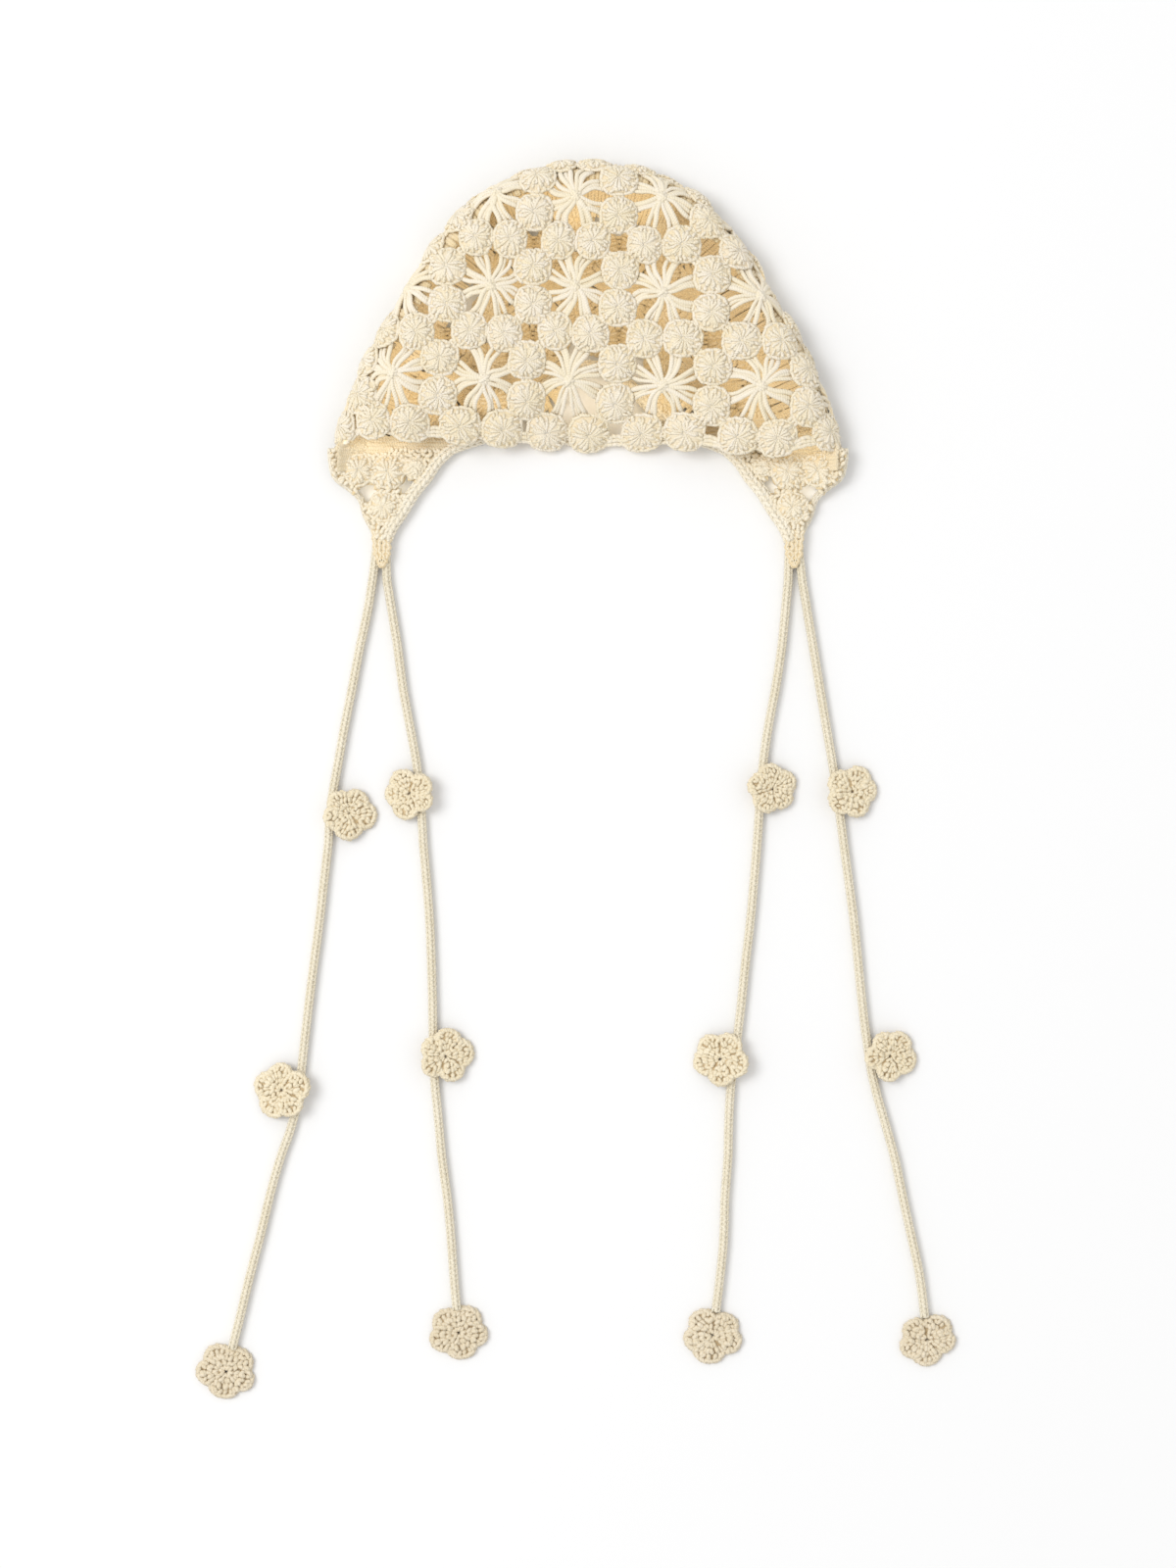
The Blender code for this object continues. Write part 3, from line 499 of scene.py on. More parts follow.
@dataclass
class Drape:
    """Lays flat motifs on one face of the crown, and round the fold onto the other where they reach it."""

    shape: HatShape
    side: Side
    reach: float = 0.052
    free: float = 0.014
    soft: float = 0.0025
    step: float = 0.0005
    sink: float = 0.0040
    zone: float = 0.019
    clearance: float = 0.1 * MM
    span: float = 0.090
    samples: int = 241
    passes: int = 2

    def lay(self, centre: np.ndarray, local: np.ndarray) -> tuple[np.ndarray, np.ndarray]:
        """Places a motif's points.

        Args:
            centre: The motif's middle in plan.
            local: Its points, one row each: two lengths along the cloth and one off it.

        Returns:
            The points in the row frame, and the cloth's outward direction at each.
        """
        inset, out = self.shape.inset(centre[None])
        if inset[0] > self.reach:
            spots, normals = self._on_face(centre + local[:, :2])
            sink = 0.0
        else:
            spots, normals, arc = self._round_fold(centre, out[0], local[:, :2])
            sink = self.sink * (1 + np.cos(math.pi * np.clip(np.abs(arc) / self.zone, 0.0, 1.0))) / 2
        spots = spots + normals * (local[:, 2] - sink)[:, None]
        spots[:, 2] = np.maximum(spots[:, 2], self.clearance)
        return self.shape.to_row(spots), normals

    def arc_at(self, centres: np.ndarray) -> np.ndarray:
        """The lengths along the cloth from the crease to plan points, negative round the fold.

        Args:
            centres: Plan points, one row each.

        Returns:
            One length each.
        """
        inset = self.shape.inset(centres)[0]
        bodies = self.shape.body_at(centres)
        return np.array([self._start(np.array([q]), body)[0] for q, body in zip(inset, bodies)])

    def _start(self, inset: np.ndarray, body: float) -> np.ndarray:
        """The lengths along the cloth to points at distances in plan, step for step near the crease.

        Args:
            inset: Distances inwards from the crease.
            body: The crown's height there.

        Returns:
            Lengths from the crease, one each.
        """
        grid, arc = self._side_arc(self.side, body)
        free = np.interp(self.free, grid, arc)
        return np.where(inset >= self.free, np.interp(inset, grid, arc), free - (self.free - inset))

    def _side_arc(self, side: Side, body: float) -> tuple[np.ndarray, np.ndarray]:
        """Distances from the crease in plan, and the lengths along a face to them."""
        grid = self.span * np.linspace(0.0, 1.0, self.samples) ** 2
        return grid, arc_of(np.stack([grid, self.shape.profile(side, grid, np.array(body))], axis=1))

    def _fold_curve(self, body: float) -> tuple[np.ndarray, np.ndarray]:
        """The cloth's section across the fold, a little rounded.

        Args:
            body: The crown's height there.

        Returns:
            Lengths along the cloth from the crease, and the distance inwards and height at each.
        """
        other = Side.LOWER if self.side is Side.UPPER else Side.UPPER
        halves = {}
        for side in (self.side, other):
            grid, arc = self._side_arc(side, body)
            halves[side] = (arc, np.stack([grid, self.shape.profile(side, grid, np.array(body))], axis=1))
        arc = np.concatenate([-halves[other][0][::-1], halves[self.side][0][1:]])
        curve = np.vstack([halves[other][1][::-1], halves[self.side][1][1:]])
        even = np.arange(arc[0], arc[-1], self.step)
        section = read_off(even, arc, curve)
        taps = round(self.soft / self.step)
        kernel = np.ones(2 * taps + 1) / (2 * taps + 1)
        for _ in range(self.passes):
            padded = np.vstack([section[:1].repeat(taps, 0), section, section[-1:].repeat(taps, 0)])
            section = np.stack([np.convolve(padded[:, k], kernel, "valid") for k in range(2)], axis=1)
        return even, section

    def _round_fold(
        self, centre: np.ndarray, out: np.ndarray, offset: np.ndarray
    ) -> tuple[np.ndarray, np.ndarray, np.ndarray]:
        """Places points near the fold.

        Args:
            centre: The motif's middle in plan.
            out: The direction out of the hat there.
            offset: The points' lengths along the cloth from the middle.

        Returns:
            The points on the cloth, its outward direction at each, and their lengths from the crease.
        """
        shape = self.shape
        beside = left_of(out)
        base = centre + np.outer(offset @ beside, beside)
        body = float(shape.body_at(centre[None])[0])
        even, section = self._fold_curve(body)
        inset = shape.inset(base)[0]
        arc = self._start(inset, body) - offset @ out
        spot = read_off(arc, even, section)
        turn = left_of(np.gradient(section, axis=0)) * self.side.value
        turn = unit(read_off(arc, even, turn))
        plan = base + np.outer(inset - spot[:, 0], out)
        scale = (shape.body_at(plan) - shape.crease_height) / (body - shape.crease_height)
        over = spot[:, 1] - shape.crease_height
        high = shape.crease_height + over * np.where(over > 0, scale, 1.0)
        normals = np.column_stack([np.outer(-turn[:, 0], out), turn[:, 1]])
        return np.column_stack([plan, high]), normals, arc

    def _on_face(self, plan: np.ndarray) -> tuple[np.ndarray, np.ndarray]:
        """Places plan points on the face, away from the fold.

        Args:
            plan: Plan points, one row each.

        Returns:
            The points on the cloth, and its outward direction at each.
        """
        shape = self.shape
        slope = []
        for move in (np.array([self.step, 0.0]), np.array([0.0, self.step])):
            rise = shape.height_at(self.side, plan + move) - shape.height_at(self.side, plan - move)
            slope.append(rise / (2 * self.step))
        normals = unit(np.column_stack([-slope[0], -slope[1], np.ones(len(plan))])) * self.side.value
        return np.column_stack([plan, shape.height_at(self.side, plan)]), normals


# ---------------------------------------------------------------------------------------------- yarn


@dataclass
class Rod:
    """The faces of a strand: a tube of rings, shaped by its path later."""

    sides: int
    rings: int
    ring: np.ndarray = field(init=False)
    angle: np.ndarray = field(init=False)
    totals: np.ndarray = field(init=False)
    loops: np.ndarray = field(init=False)
    around: np.ndarray = field(init=False)

    def __post_init__(self) -> None:
        """Makes the tube with operators and reads which ring each corner is on."""
        mesh = bmesh.new()
        bmesh.ops.create_cone(
            mesh, cap_ends=True, cap_tris=False, segments=self.sides, radius1=1, radius2=1, depth=1
        )
        uprights = [e for e in mesh.edges if abs(e.verts[0].co.z - e.verts[1].co.z) > 0.5]
        if self.rings > 2:
            bmesh.ops.subdivide_edges(mesh, edges=uprights, cuts=self.rings - 2)
        bmesh.ops.recalc_face_normals(mesh, faces=mesh.faces)
        mesh.verts.index_update()
        spots = np.array([v.co for v in mesh.verts])
        self.ring = np.rint((spots[:, 2] + 0.5) * (self.rings - 1)).astype(int)
        self.angle = np.arctan2(spots[:, 1], spots[:, 0])
        self.totals = np.array([len(f.verts) for f in mesh.faces])
        self.loops = np.array([v.index for f in mesh.faces for v in f.verts])
        share = []
        for face in mesh.faces:
            turns = [self.angle[v.index] / math.tau % 1.0 for v in face.verts]
            if max(turns) - min(turns) > 0.5 and len({self.ring[v.index] for v in face.verts}) > 1:
                turns = [turn + 1 if turn < 0.5 else turn for turn in turns]
            share += turns
        self.around = np.array(share)
        mesh.free()


@dataclass
class Dome:
    """A closed lens: a domed top over a shallow back, as a unit shape."""

    segments: int
    rings: int
    spots: np.ndarray = field(init=False)
    totals: np.ndarray = field(init=False)
    loops: np.ndarray = field(init=False)

    def __post_init__(self) -> None:
        """Makes the lens from a sphere."""
        mesh = bmesh.new()
        bmesh.ops.create_uvsphere(mesh, u_segments=self.segments, v_segments=self.rings, radius=1)
        bmesh.ops.recalc_face_normals(mesh, faces=mesh.faces)
        mesh.verts.index_update()
        self.spots = np.array([v.co for v in mesh.verts])
        self.totals = np.array([len(f.verts) for f in mesh.faces])
        self.loops = np.array([v.index for f in mesh.faces for v in f.verts])
        mesh.free()


@dataclass
class YarnMesh:
    """Collects strands and domes, and joins them in one mesh.

    Each corner carries two values: depth, a painted-shade weight from 0 where the yarn lies in full light to
    1 deep inside the hat and under the stitches, and lot, which differs from strand to strand. The UV map
    runs round the strand and, in metres, along it.
    """

    rods: dict[tuple[int, int], Rod] = field(default_factory=dict)
    spots: list[np.ndarray] = field(default_factory=list)
    totals: list[np.ndarray] = field(default_factory=list)
    loops: list[np.ndarray] = field(default_factory=list)
    uvs: list[np.ndarray] = field(default_factory=list)
    shade_weights: list[np.ndarray] = field(default_factory=list)
    lots: list[np.ndarray] = field(default_factory=list)
    count: int = 0
    seed: int = 0

    def strands(
        self,
        paths: np.ndarray,
        ups: np.ndarray,
        widths: np.ndarray,
        heights: np.ndarray,
        sides: int = 5,
        depth: np.ndarray | float = 0.0,
        back: float = 0.9,
    ) -> None:
        """Adds strands that all have the same number of rings.

        Args:
            paths: Their middles: strand, ring, place.
            ups: The direction of each ring's height.
            widths: Half the width at each ring, per strand or for all.
            heights: Half the height at each ring, per strand or for all.
            sides: The faces round a strand.
            depth: The painted shade on their outer side, from 0 in full light to 1 deep inside the hat, at
                each strand's rings or for all.
            back: How much more painted shade their underside takes.
        """
        count, rings = paths.shape[:2]
        if count == 0:
            return
        rod = self.rods.setdefault((sides, rings), Rod(sides, rings))
        runs = unit(np.gradient(paths, axis=1))
        across = unit(np.cross(runs, ups))
        high = unit(np.cross(across, runs))
        widths = np.broadcast_to(widths, (count, rings))
        heights = np.broadcast_to(heights, (count, rings))
        turn_x, turn_y = np.cos(rod.angle)[None, :, None], np.sin(rod.angle)[None, :, None]
        at = rod.ring
        spots = (
            paths[:, at]
            + across[:, at] * turn_x * widths[:, at, None]
            + high[:, at] * turn_y * heights[:, at, None]
        )
        steps = np.linalg.norm(np.diff(paths, axis=1), axis=-1)
        along = np.concatenate([np.zeros((count, 1)), np.cumsum(steps, axis=1)], axis=1)
        uv = np.empty((count, len(rod.loops), 2))
        uv[..., 0] = rod.around
        uv[..., 1] = along[:, rod.ring[rod.loops]]
        lot = np.random.default_rng(self.seed + self.count).random((count, 1))
        uv[..., 1] += lot
        self._add(spots, rod.totals, rod.loops, uv)
        # Painted shade: each strand's underside takes more of the ochre shade colour than its top.
        outer = np.broadcast_to(depth, (count, rings))[:, at]
        inner = np.clip(outer + back * (0.5 - np.sin(rod.angle) / 2) ** 1.5, 0.0, 1.0)
        self.shade_weights.append(inner.reshape(-1))
        self.lots.append(np.broadcast_to(lot, spots.shape[:2]).reshape(-1))

    def laid(
        self,
        lay: Lay,
        points: np.ndarray,
        widths: np.ndarray,
        heights: np.ndarray,
        sides: int = 5,
        depth: np.ndarray | float = 0.0,
        back: float = 0.9,
    ) -> None:
        """Adds strands, like strands does, from flat points that are laid on the cloth first.

        Args:
            lay: Places flat points, and gives the cloth's outward direction there.
            points: The strands' middles before that: strand, ring, place.
            widths: Half the width at each ring, per strand or for all.
            heights: Half the height at each ring, per strand or for all.
            sides: The faces round a strand.
            depth: The painted shade on their outer side.
            back: How much more painted shade their underside takes.
        """
        spots, ups = (flat.reshape(points.shape) for flat in lay(points.reshape(-1, 3)))
        self.strands(spots, ups, widths, heights, sides, depth, back)

    def solids(self, spots: np.ndarray, dome: Dome, uv: np.ndarray, depth: np.ndarray) -> None:
        """Adds copies of a dome.

        Args:
            spots: Their corners: dome, corner, place.
            dome: Their faces.
            uv: The map's values for one dome's corners.
            depth: The painted shade at each corner of one dome.
        """
        loops = np.broadcast_to(uv[dome.loops], (len(spots), len(dome.loops), 2))
        lot = np.random.default_rng(self.seed + self.count).random((len(spots), 1))
        self._add(spots, dome.totals, dome.loops, loops)
        self.shade_weights.append(np.tile(depth, len(spots)))
        self.lots.append(np.broadcast_to(lot, spots.shape[:2]).reshape(-1))

    def _add(self, spots: np.ndarray, totals: np.ndarray, loops: np.ndarray, uv: np.ndarray) -> None:
        """Adds copies of a shape's corners and faces.

        Args:
            spots: The corners: copy, corner, place.
            totals: How many corners each face has.
            loops: The faces' corners, one face after another.
            uv: The map's values: copy, face corner, value.
        """
        copies, corners = spots.shape[:2]
        starts = self.count + np.arange(copies) * corners
        self.spots.append(spots.reshape(-1, 3))
        self.totals.append(np.tile(totals, copies))
        self.loops.append((loops[None] + starts[:, None]).reshape(-1))
        self.uvs.append(uv.reshape(-1, 2))
        self.count += copies * corners

    def finish(self, name: str, material: bpy.types.Material) -> bpy.types.Object:
        """Makes the piece.

        Args:
            name: The piece's name.
            material: Its finish.

        Returns:
            The piece, in the scene.
        """
        spots = np.concatenate(self.spots)
        totals = np.concatenate(self.totals)
        loops = np.concatenate(self.loops)
        data = bpy.data.meshes.new(name)
        data.vertices.add(len(spots))
        data.vertices.foreach_set("co", spots.ravel())
        data.loops.add(len(loops))
        data.loops.foreach_set("vertex_index", loops)
        data.polygons.add(len(totals))
        data.polygons.foreach_set("loop_start", np.concatenate([[0], np.cumsum(totals)[:-1]]))
        data.polygons.foreach_set("use_smooth", np.ones(len(totals), dtype=bool))
        data.uv_layers.new(name="yarn").data.foreach_set("uv", np.concatenate(self.uvs).ravel())
        # depth holds the painted-shade weight that the material reads.
        for title, values in (("depth", self.shade_weights), ("lot", self.lots)):
            layer = data.attributes.new(title, "FLOAT", "POINT")
            layer.data.foreach_set("value", np.concatenate(values))
        data.update(calc_edges=True)
        data.validate()
        data.materials.append(material)
        LOG.info("%s: %d faces", name, len(data.polygons))
        return link(name, data)


# ---------------------------------------------------------------------------------------------- finish


def linear(code: str) -> tuple[float, float, float, float]:
    """An sRGB hex colour as the linear values that a shader takes."""
    values = [int(code[k : k + 2], 16) / 255 for k in (1, 3, 5)]
    return (*[v / 12.92 if v <= 0.04045 else ((v + 0.055) / 1.055) ** 2.4 for v in values], 1.0)


def add_node(
    tree: Tree,
    kind: str,
    settings: dict[str, object] | None = None,
    inputs: dict[str | int, object] | None = None,
) -> bpy.types.Node:
    """Adds a node with its settings, values and links.

    Args:
        tree: The material's node tree.
        kind: The node's type.
        settings: Values of its own fields.
        inputs: Values or other nodes' outputs for its sockets.

    Returns:
        The node.
    """
    node = tree.nodes.new(kind)
    for key, value in (settings or {}).items():
        setattr(node, key, value)
    for key, value in (inputs or {}).items():
        if isinstance(value, Socket):
            tree.links.new(value, node.inputs[key])
        else:
            node.inputs[key].default_value = value
    return node


def noise(tree: Tree, place: Socket, size: float, detail: float, roughness: float) -> Socket:
    """Noise of a real size, in metres."""
    values = {"Vector": place, "Scale": 1 / size, "Detail": detail, "Roughness": roughness}
    return add_node(tree, "ShaderNodeTexNoise", inputs=values).outputs["Fac"]


def calculate(tree: Tree, operation: str, *values: object) -> Socket:
    """The result of a sum on values or sockets."""
    node = add_node(tree, "ShaderNodeMath", {"operation": operation}, dict(enumerate(values)))
    return node.outputs[0]


def ranged(tree: Tree, value: Socket, limits: Row) -> Socket:
    """A value moved from between the first two limits to between zero and the third."""
    values = {"Value": value, "From Min": limits[0], "From Max": limits[1], "To Max": limits[2]}
    return add_node(tree, "ShaderNodeMapRange", inputs=values).outputs["Result"]


def mix(tree: Tree, share: Socket, first: object, last: object) -> Socket:
    """A colour between two colours."""
    node = add_node(tree, "ShaderNodeMix", {"data_type": "RGBA"}, {"Factor": share, 6: first, 7: last})
    return node.outputs[2]


def bump(tree: Tree, height: Socket, size: float, **under: Socket) -> Socket:
    """The surface's direction, bent by a height of a real size in metres, over another bend if given."""
    values = {"Height": height, "Distance": size, "Strength": 1.0, **under}
    return add_node(tree, "ShaderNodeBump", inputs=values).outputs["Normal"]


@dataclass(frozen=True)
class CottonYarn:
    """Unbleached cotton yarn, crocheted: matt, softly hairy, cream with darker flecks.

    Light that bounces between the stitches turns ochre. That shade is painted into the colour, so the inside
    of the hat and the foot of each stitch are painted warmer than the outside.
    """

    name: str
    face: str = "#F3EAD9"
    shade: str = "#EFE2C1"
    # inside is the painted shade colour, the ochre of light bounced between the stitches, mixed in by the
    # depth weight.
    inside: str = "#EAD5A9"
    fleck: str = "#B79A66"
    # The pattern's sizes are real ones: plies come round every 1.3 mm and stand 0.16 mm out, fibres are
    # 0.35 mm, flecks 1.1 mm and the patches of shade 14 mm.
    ply_pitch: float = 1.3 * MM
    plies: int = 2
    ply_depth: float = 0.16 * MM
    fibre_size: float = 0.35 * MM
    fibre_depth: float = 0.05 * MM
    fleck_size: float = 1.1 * MM
    patch_size: float = 14.0 * MM
    roughness: float = 0.9
    sheen: float = 0.25
    sheen_roughness: float = 0.6
    ior: float = 1.45
    lot_share: float = 0.45
    shade_range: Row = (0.40, 1.05, 0.75)
    fleck_range: Row = (0.66, 0.74, 0.30)

    @cache
    def material(self) -> bpy.types.Material:
        """Makes the material, once for each finish.

        Returns:
            The material, with its colour, flecks, plies and fibres.
        """
        material = bpy.data.materials.new(self.name)
        material.use_nodes = True
        tree = material.node_tree
        shader = tree.nodes["Principled BSDF"]
        shader.inputs["Roughness"].default_value = self.roughness
        shader.inputs["Sheen Weight"].default_value = self.sheen
        shader.inputs["Sheen Roughness"].default_value = self.sheen_roughness
        shader.inputs["IOR"].default_value = self.ior
        tree.links.new(self._colour(tree), shader.inputs["Base Color"])
        tree.links.new(self._relief(tree), shader.inputs["Normal"])
        return material

    def _colour(self, tree: Tree) -> Socket:
        """The yarn's colour: patches, flecks, and painted ochre shade inside the hat and under the stitches.

        Args:
            tree: The material's node tree.

        Returns:
            The colour.
        """
        place = add_node(tree, "ShaderNodeTexCoord").outputs["Object"]
        patches = noise(tree, place, self.patch_size, 2.0, 0.5)
        lot = add_node(tree, "ShaderNodeAttribute", {"attribute_name": "lot"}).outputs["Fac"]
        blend = calculate(tree, "MULTIPLY_ADD", lot, self.lot_share, patches)
        cream = mix(tree, ranged(tree, blend, self.shade_range), linear(self.face), linear(self.shade))
        specks = noise(tree, place, self.fleck_size, 1.0, 0.6)
        flecked = mix(tree, ranged(tree, specks, self.fleck_range), cream, linear(self.fleck))
        # Painted shade: the depth weight mixes the ochre shade colour over the yarn's own colour.
        depth = add_node(tree, "ShaderNodeAttribute", {"attribute_name": "depth"}).outputs["Fac"]
        return mix(tree, depth, flecked, linear(self.inside))

    def _relief(self, tree: Tree) -> Socket:
        """The plies that wind round each strand, and the fibres.

        Args:
            tree: The material's node tree.

        Returns:
            The surface's direction.
        """
        place = add_node(tree, "ShaderNodeTexCoord").outputs["Object"]
        yarn = add_node(tree, "ShaderNodeUVMap", {"uv_map": "yarn"}).outputs["UV"]
        turned = add_node(tree, "ShaderNodeSeparateXYZ", inputs={"Vector": yarn}).outputs
        wound = calculate(tree, "MULTIPLY", turned["X"], math.tau * self.plies)
        phase = calculate(tree, "MULTIPLY_ADD", turned["Y"], math.tau / self.ply_pitch, wound)
        plies = bump(tree, calculate(tree, "SINE", phase), self.ply_depth / 2)
        return bump(tree, noise(tree, place, self.fibre_size, 2.0, 0.6), self.fibre_depth, Normal=plies)


# The whole hat is one unbleached cotton yarn. Each part's colours are set after its tones in the photo.
# These copies of the one yarn differ only by painted light and shade: the ties and end flowers darker, the
# flaps and edging paler. Each inside colour is a painted shade colour.
CROWN_YARN = CottonYarn("crown_cotton_yarn")
FLAP_YARN = CottonYarn("flap_cotton_yarn", face="#F6EDD8", shade="#F0E3C6", inside="#EACB8C")
EDGING_YARN = CottonYarn("edging_cotton_yarn", face="#F7EFDC", shade="#F0E4CA", inside="#E0CA9C")
TIE_YARN = CottonYarn("tie_cotton_yarn", face="#F0E7D1", shade="#E6DBC0", inside="#CDBD98")
FLOWER_YARN = CottonYarn("flower_cotton_yarn", face="#F5EACF", shade="#EADCBC", inside="#C6A977")
END_YARN = CottonYarn("flower_end_cotton_yarn", face="#EDE1C9", shade="#E1D3B5", inside="#B99D6C")


@dataclass(frozen=True)
class FloorPaper:
    """Matt white studio paper."""

    name: str = "white_paper"
    colour: str = "#F2F2F2"
    roughness: float = 0.95

    def material(self) -> bpy.types.Material:
        """Makes the material.

        Returns:
            The material.
        """
        material = bpy.data.materials.new(self.name)
        material.use_nodes = True
        shader = material.node_tree.nodes["Principled BSDF"]
        shader.inputs["Base Color"].default_value = linear(self.colour)
        shader.inputs["Roughness"].default_value = self.roughness
        return material


# ---------------------------------------------------------------------------------------------- motifs


# A short stitch: its rings' places as shares of half its length, and their widths as shares of the widest.
KNOB_RINGS = np.array([-1.0, -0.45, 0.45, 1.0])
KNOB_TAPER = (0.62, 1.0, 1.0, 0.62)


def knobs(
    yarn: YarnMesh,
    lay: Lay,
    places: np.ndarray,
    runs: np.ndarray,
    length: np.ndarray | float,
    half: np.ndarray | float,
    depth: float = 0.0,
    back: float = 0.5,
    bend: float = 0.5 * MM,
    flat: float = 0.85,
) -> None:
    """Adds short plump stitches.

    Args:
        yarn: The mesh they join.
        lay: Places flat points, and gives the cloth's outward direction there.
        places: Their middles, one row each: two lengths along the cloth and one off it.
        runs: The directions that they run in along the cloth, in radians.
        length: Their length, or one each.
        half: Half their width, or one each.
        depth: The painted shade on their outer side.
        back: How much more painted shade their underside takes.
        bend: How much higher their middle is than their ends.
        flat: Their height as a share of their width.
    """
    reach = np.broadcast_to(length, len(places))[:, None] / 2 * KNOB_RINGS
    lift = np.broadcast_to(-bend * KNOB_RINGS**2, reach.shape)
    step = np.stack([np.cos(runs)[:, None] * reach, np.sin(runs)[:, None] * reach, lift], axis=-1)
    wide = np.broadcast_to(half, len(places))[:, None] * KNOB_TAPER
    yarn.laid(lay, places[:, None] + step, wide, wide * flat, 5, depth, back)


@dataclass
class Puff:
    """A crocheted round: tall stitches over a dome, a ring of knobs, and a chain round its rim."""

    radius: float = 9.9 * MM
    rise: float = 3.3 * MM
    back: float = 1.3 * MM
    posts: int = 16
    knobs: int = 18
    links: int = 14
    relief: float = 1.0
    square: float = 0.035
    wobble: float = 0.018
    # The dome under the stitches: its share of the radius, how much it swells and how deep it sits.
    body_share: float = 0.95
    body_swell: float = 0.45 * MM
    body_sink: float = 0.75 * MM
    # The chain: its share of the radius, its links' overlap and lean, and ranges in millimetres.
    chain_share: float = 0.895
    chain_line: float = 0.9
    chain_overlap: float = 1.35
    chain_lean: float = 0.14
    chain_shift: float = 0.15
    chain_lift: Row = (0.25, 0.55)
    chain_half: Row = (1.0, 1.2)
    # The tall stitches: jitter, start and reach in shares, sway in radians, and their drop in millimetres.
    post_jitter: float = 0.35
    post_start: float = 0.06
    post_reach: Row = (0.50, 0.72)
    post_sway: float = 0.16
    post_drop: Row = (-0.52, -0.26)
    post_taper: Row = (1.0, 1.0, 1.0, 0.95, 0.60)
    post_high: Row = (0.30, 0.36, 0.44, 0.50, 0.44)
    # The ring of knobs: reach in shares, turn in radians, and the rest in millimetres.
    ring_reach: Row = (0.62, 0.80)
    ring_turn: float = 0.7
    ring_drop: Row = (-0.60, -0.15)
    ring_half: Row = (0.70, 1.05)
    ring_length: Row = (2.6, 4.6)
    # The inner face's rings: stitches, share of the radius, and height in millimetres.
    back_rings: tuple[Row, ...] = ((9, 0.34, -2.05), (16, 0.70, -1.75))

    def add(
        self,
        yarn: YarnMesh,
        lay: Lay,
        chance: np.random.Generator,
        stretch: tuple[float, float] = (1.0, 1.0),
        turn: float = 0.0,
        back: bool = False,
    ) -> None:
        """Adds one round.

        Args:
            yarn: The mesh it joins.
            lay: Places the round's own points, and gives the cloth's outward direction there.
            chance: What makes this round differ from the others.
            stretch: Its size along its own axis and across it, as shares of the usual one.
            turn: The direction of its axis, in radians.
            back: Whether its inner face has stitches of its own.
        """
        phases = chance.uniform(0, math.tau, 2)
        rise = self.rise * (0.5 + 0.25 * sum(stretch)) * (1 + chance.uniform(-0.08, 0.08))
        cos, sin = math.cos(turn), math.sin(turn)

        def place(points: np.ndarray) -> tuple[np.ndarray, np.ndarray]:
            """Lays the round's own points, squared off, stretched and turned.

            Args:
                points: The points, one row each.

            Returns:
                The points on the cloth, and its outward direction at each.
            """
            angle = np.arctan2(points[:, 1], points[:, 0])
            grow = 1 - self.square * np.cos(4 * angle)
            grow += self.wobble * (np.cos(2 * angle + phases[0]) + np.cos(3 * angle + phases[1]))
            x, y = points[:, 0] * grow * stretch[0], points[:, 1] * grow * stretch[1]
            return lay(np.column_stack([x * cos - y * sin, x * sin + y * cos, points[:, 2]]))

        dome = Dome(22, 6)
        flat = np.hypot(dome.spots[:, 0], dome.spots[:, 1])
        wide = self.radius * self.body_share
        body = dome.spots * (wide, wide, self.back)
        over = dome.spots[:, 2] > 0
        body[over, 2] = self._high(flat[over] * self.body_share, rise) + self.body_swell * dome.spots[over, 2]
        body[:, 2] -= self.body_sink
        # Painted shade: the dome under the stitches takes some ochre shade colour, more towards its edge, and
        # its underside much more.
        inner = np.where(dome.spots[:, 2] < 0.1, 0.85, 0.20 + 0.45 * flat**3)
        yarn.solids(place(body)[0][None], dome, dome.spots[:, :2] * self.radius, inner)
        self._posts(yarn, place, chance, rise)
        self._ring(yarn, place, chance, rise)
        if back:
            self._back(yarn, place, chance)
        count = self.links
        angle = self._around(chance, count, 0.10)
        out = self.radius * self.chain_share + chance.uniform(-self.chain_shift, self.chain_shift, count) * MM
        places = polar(angle, out, chance.uniform(*self.chain_lift, count) * MM)
        length = math.tau * self.radius * self.chain_line / count * self.chain_overlap
        half = chance.uniform(*self.chain_half, count) * MM
        # Painted shade on the links' undersides.
        knobs(yarn, place, places, angle + math.pi / 2 - self.chain_lean, length, half, 0.0, 0.85)

    def _high(self, share: np.ndarray, rise: float) -> np.ndarray:
        """The dome's height at shares of the radius."""
        return rise * (1 - np.clip(share, 0.0, 1.0) ** 3.0)

    def _around(self, chance: np.random.Generator, count: int, jitter: float) -> np.ndarray:
        """Directions round the middle, almost evenly spaced."""
        places = np.arange(count) + chance.uniform(0, 1) + chance.uniform(-jitter, jitter, count)
        return math.tau * places / count

    def _posts(self, yarn: YarnMesh, place: Lay, chance: np.random.Generator, rise: float) -> None:
        """Adds the tall stitches in the middle, which overlap.

        Args:
            yarn: The mesh they join.
            place: Lays the round's own points.
            chance: What makes them differ.
            rise: The dome's rise.
        """
        count = self.posts
        angle = self._around(chance, count, self.post_jitter)
        t = np.linspace(0.0, 1.0, len(self.post_taper))
        share = self.post_start + np.outer(chance.uniform(*self.post_reach, count), t)
        sway = chance.uniform(-self.post_sway, self.post_sway, (2, count))[..., None]
        sway = sway * np.stack([t, np.sin(math.tau * t)])[:, None]
        at = angle[:, None] + sway.sum(axis=0)
        out = share * self.radius
        lift = self._high(share, rise) + (chance.uniform(*self.post_drop, count) * self.relief)[:, None] * MM
        wide = np.maximum(0.42 * MM, out * math.pi / count * 1.05) * self.post_taper
        high = np.broadcast_to(np.array(self.post_high) * MM * self.relief, wide.shape)
        # Painted shade on the posts' undersides.
        yarn.laid(place, polar(at, out, lift), wide, high, 5, 0.0, 0.6)

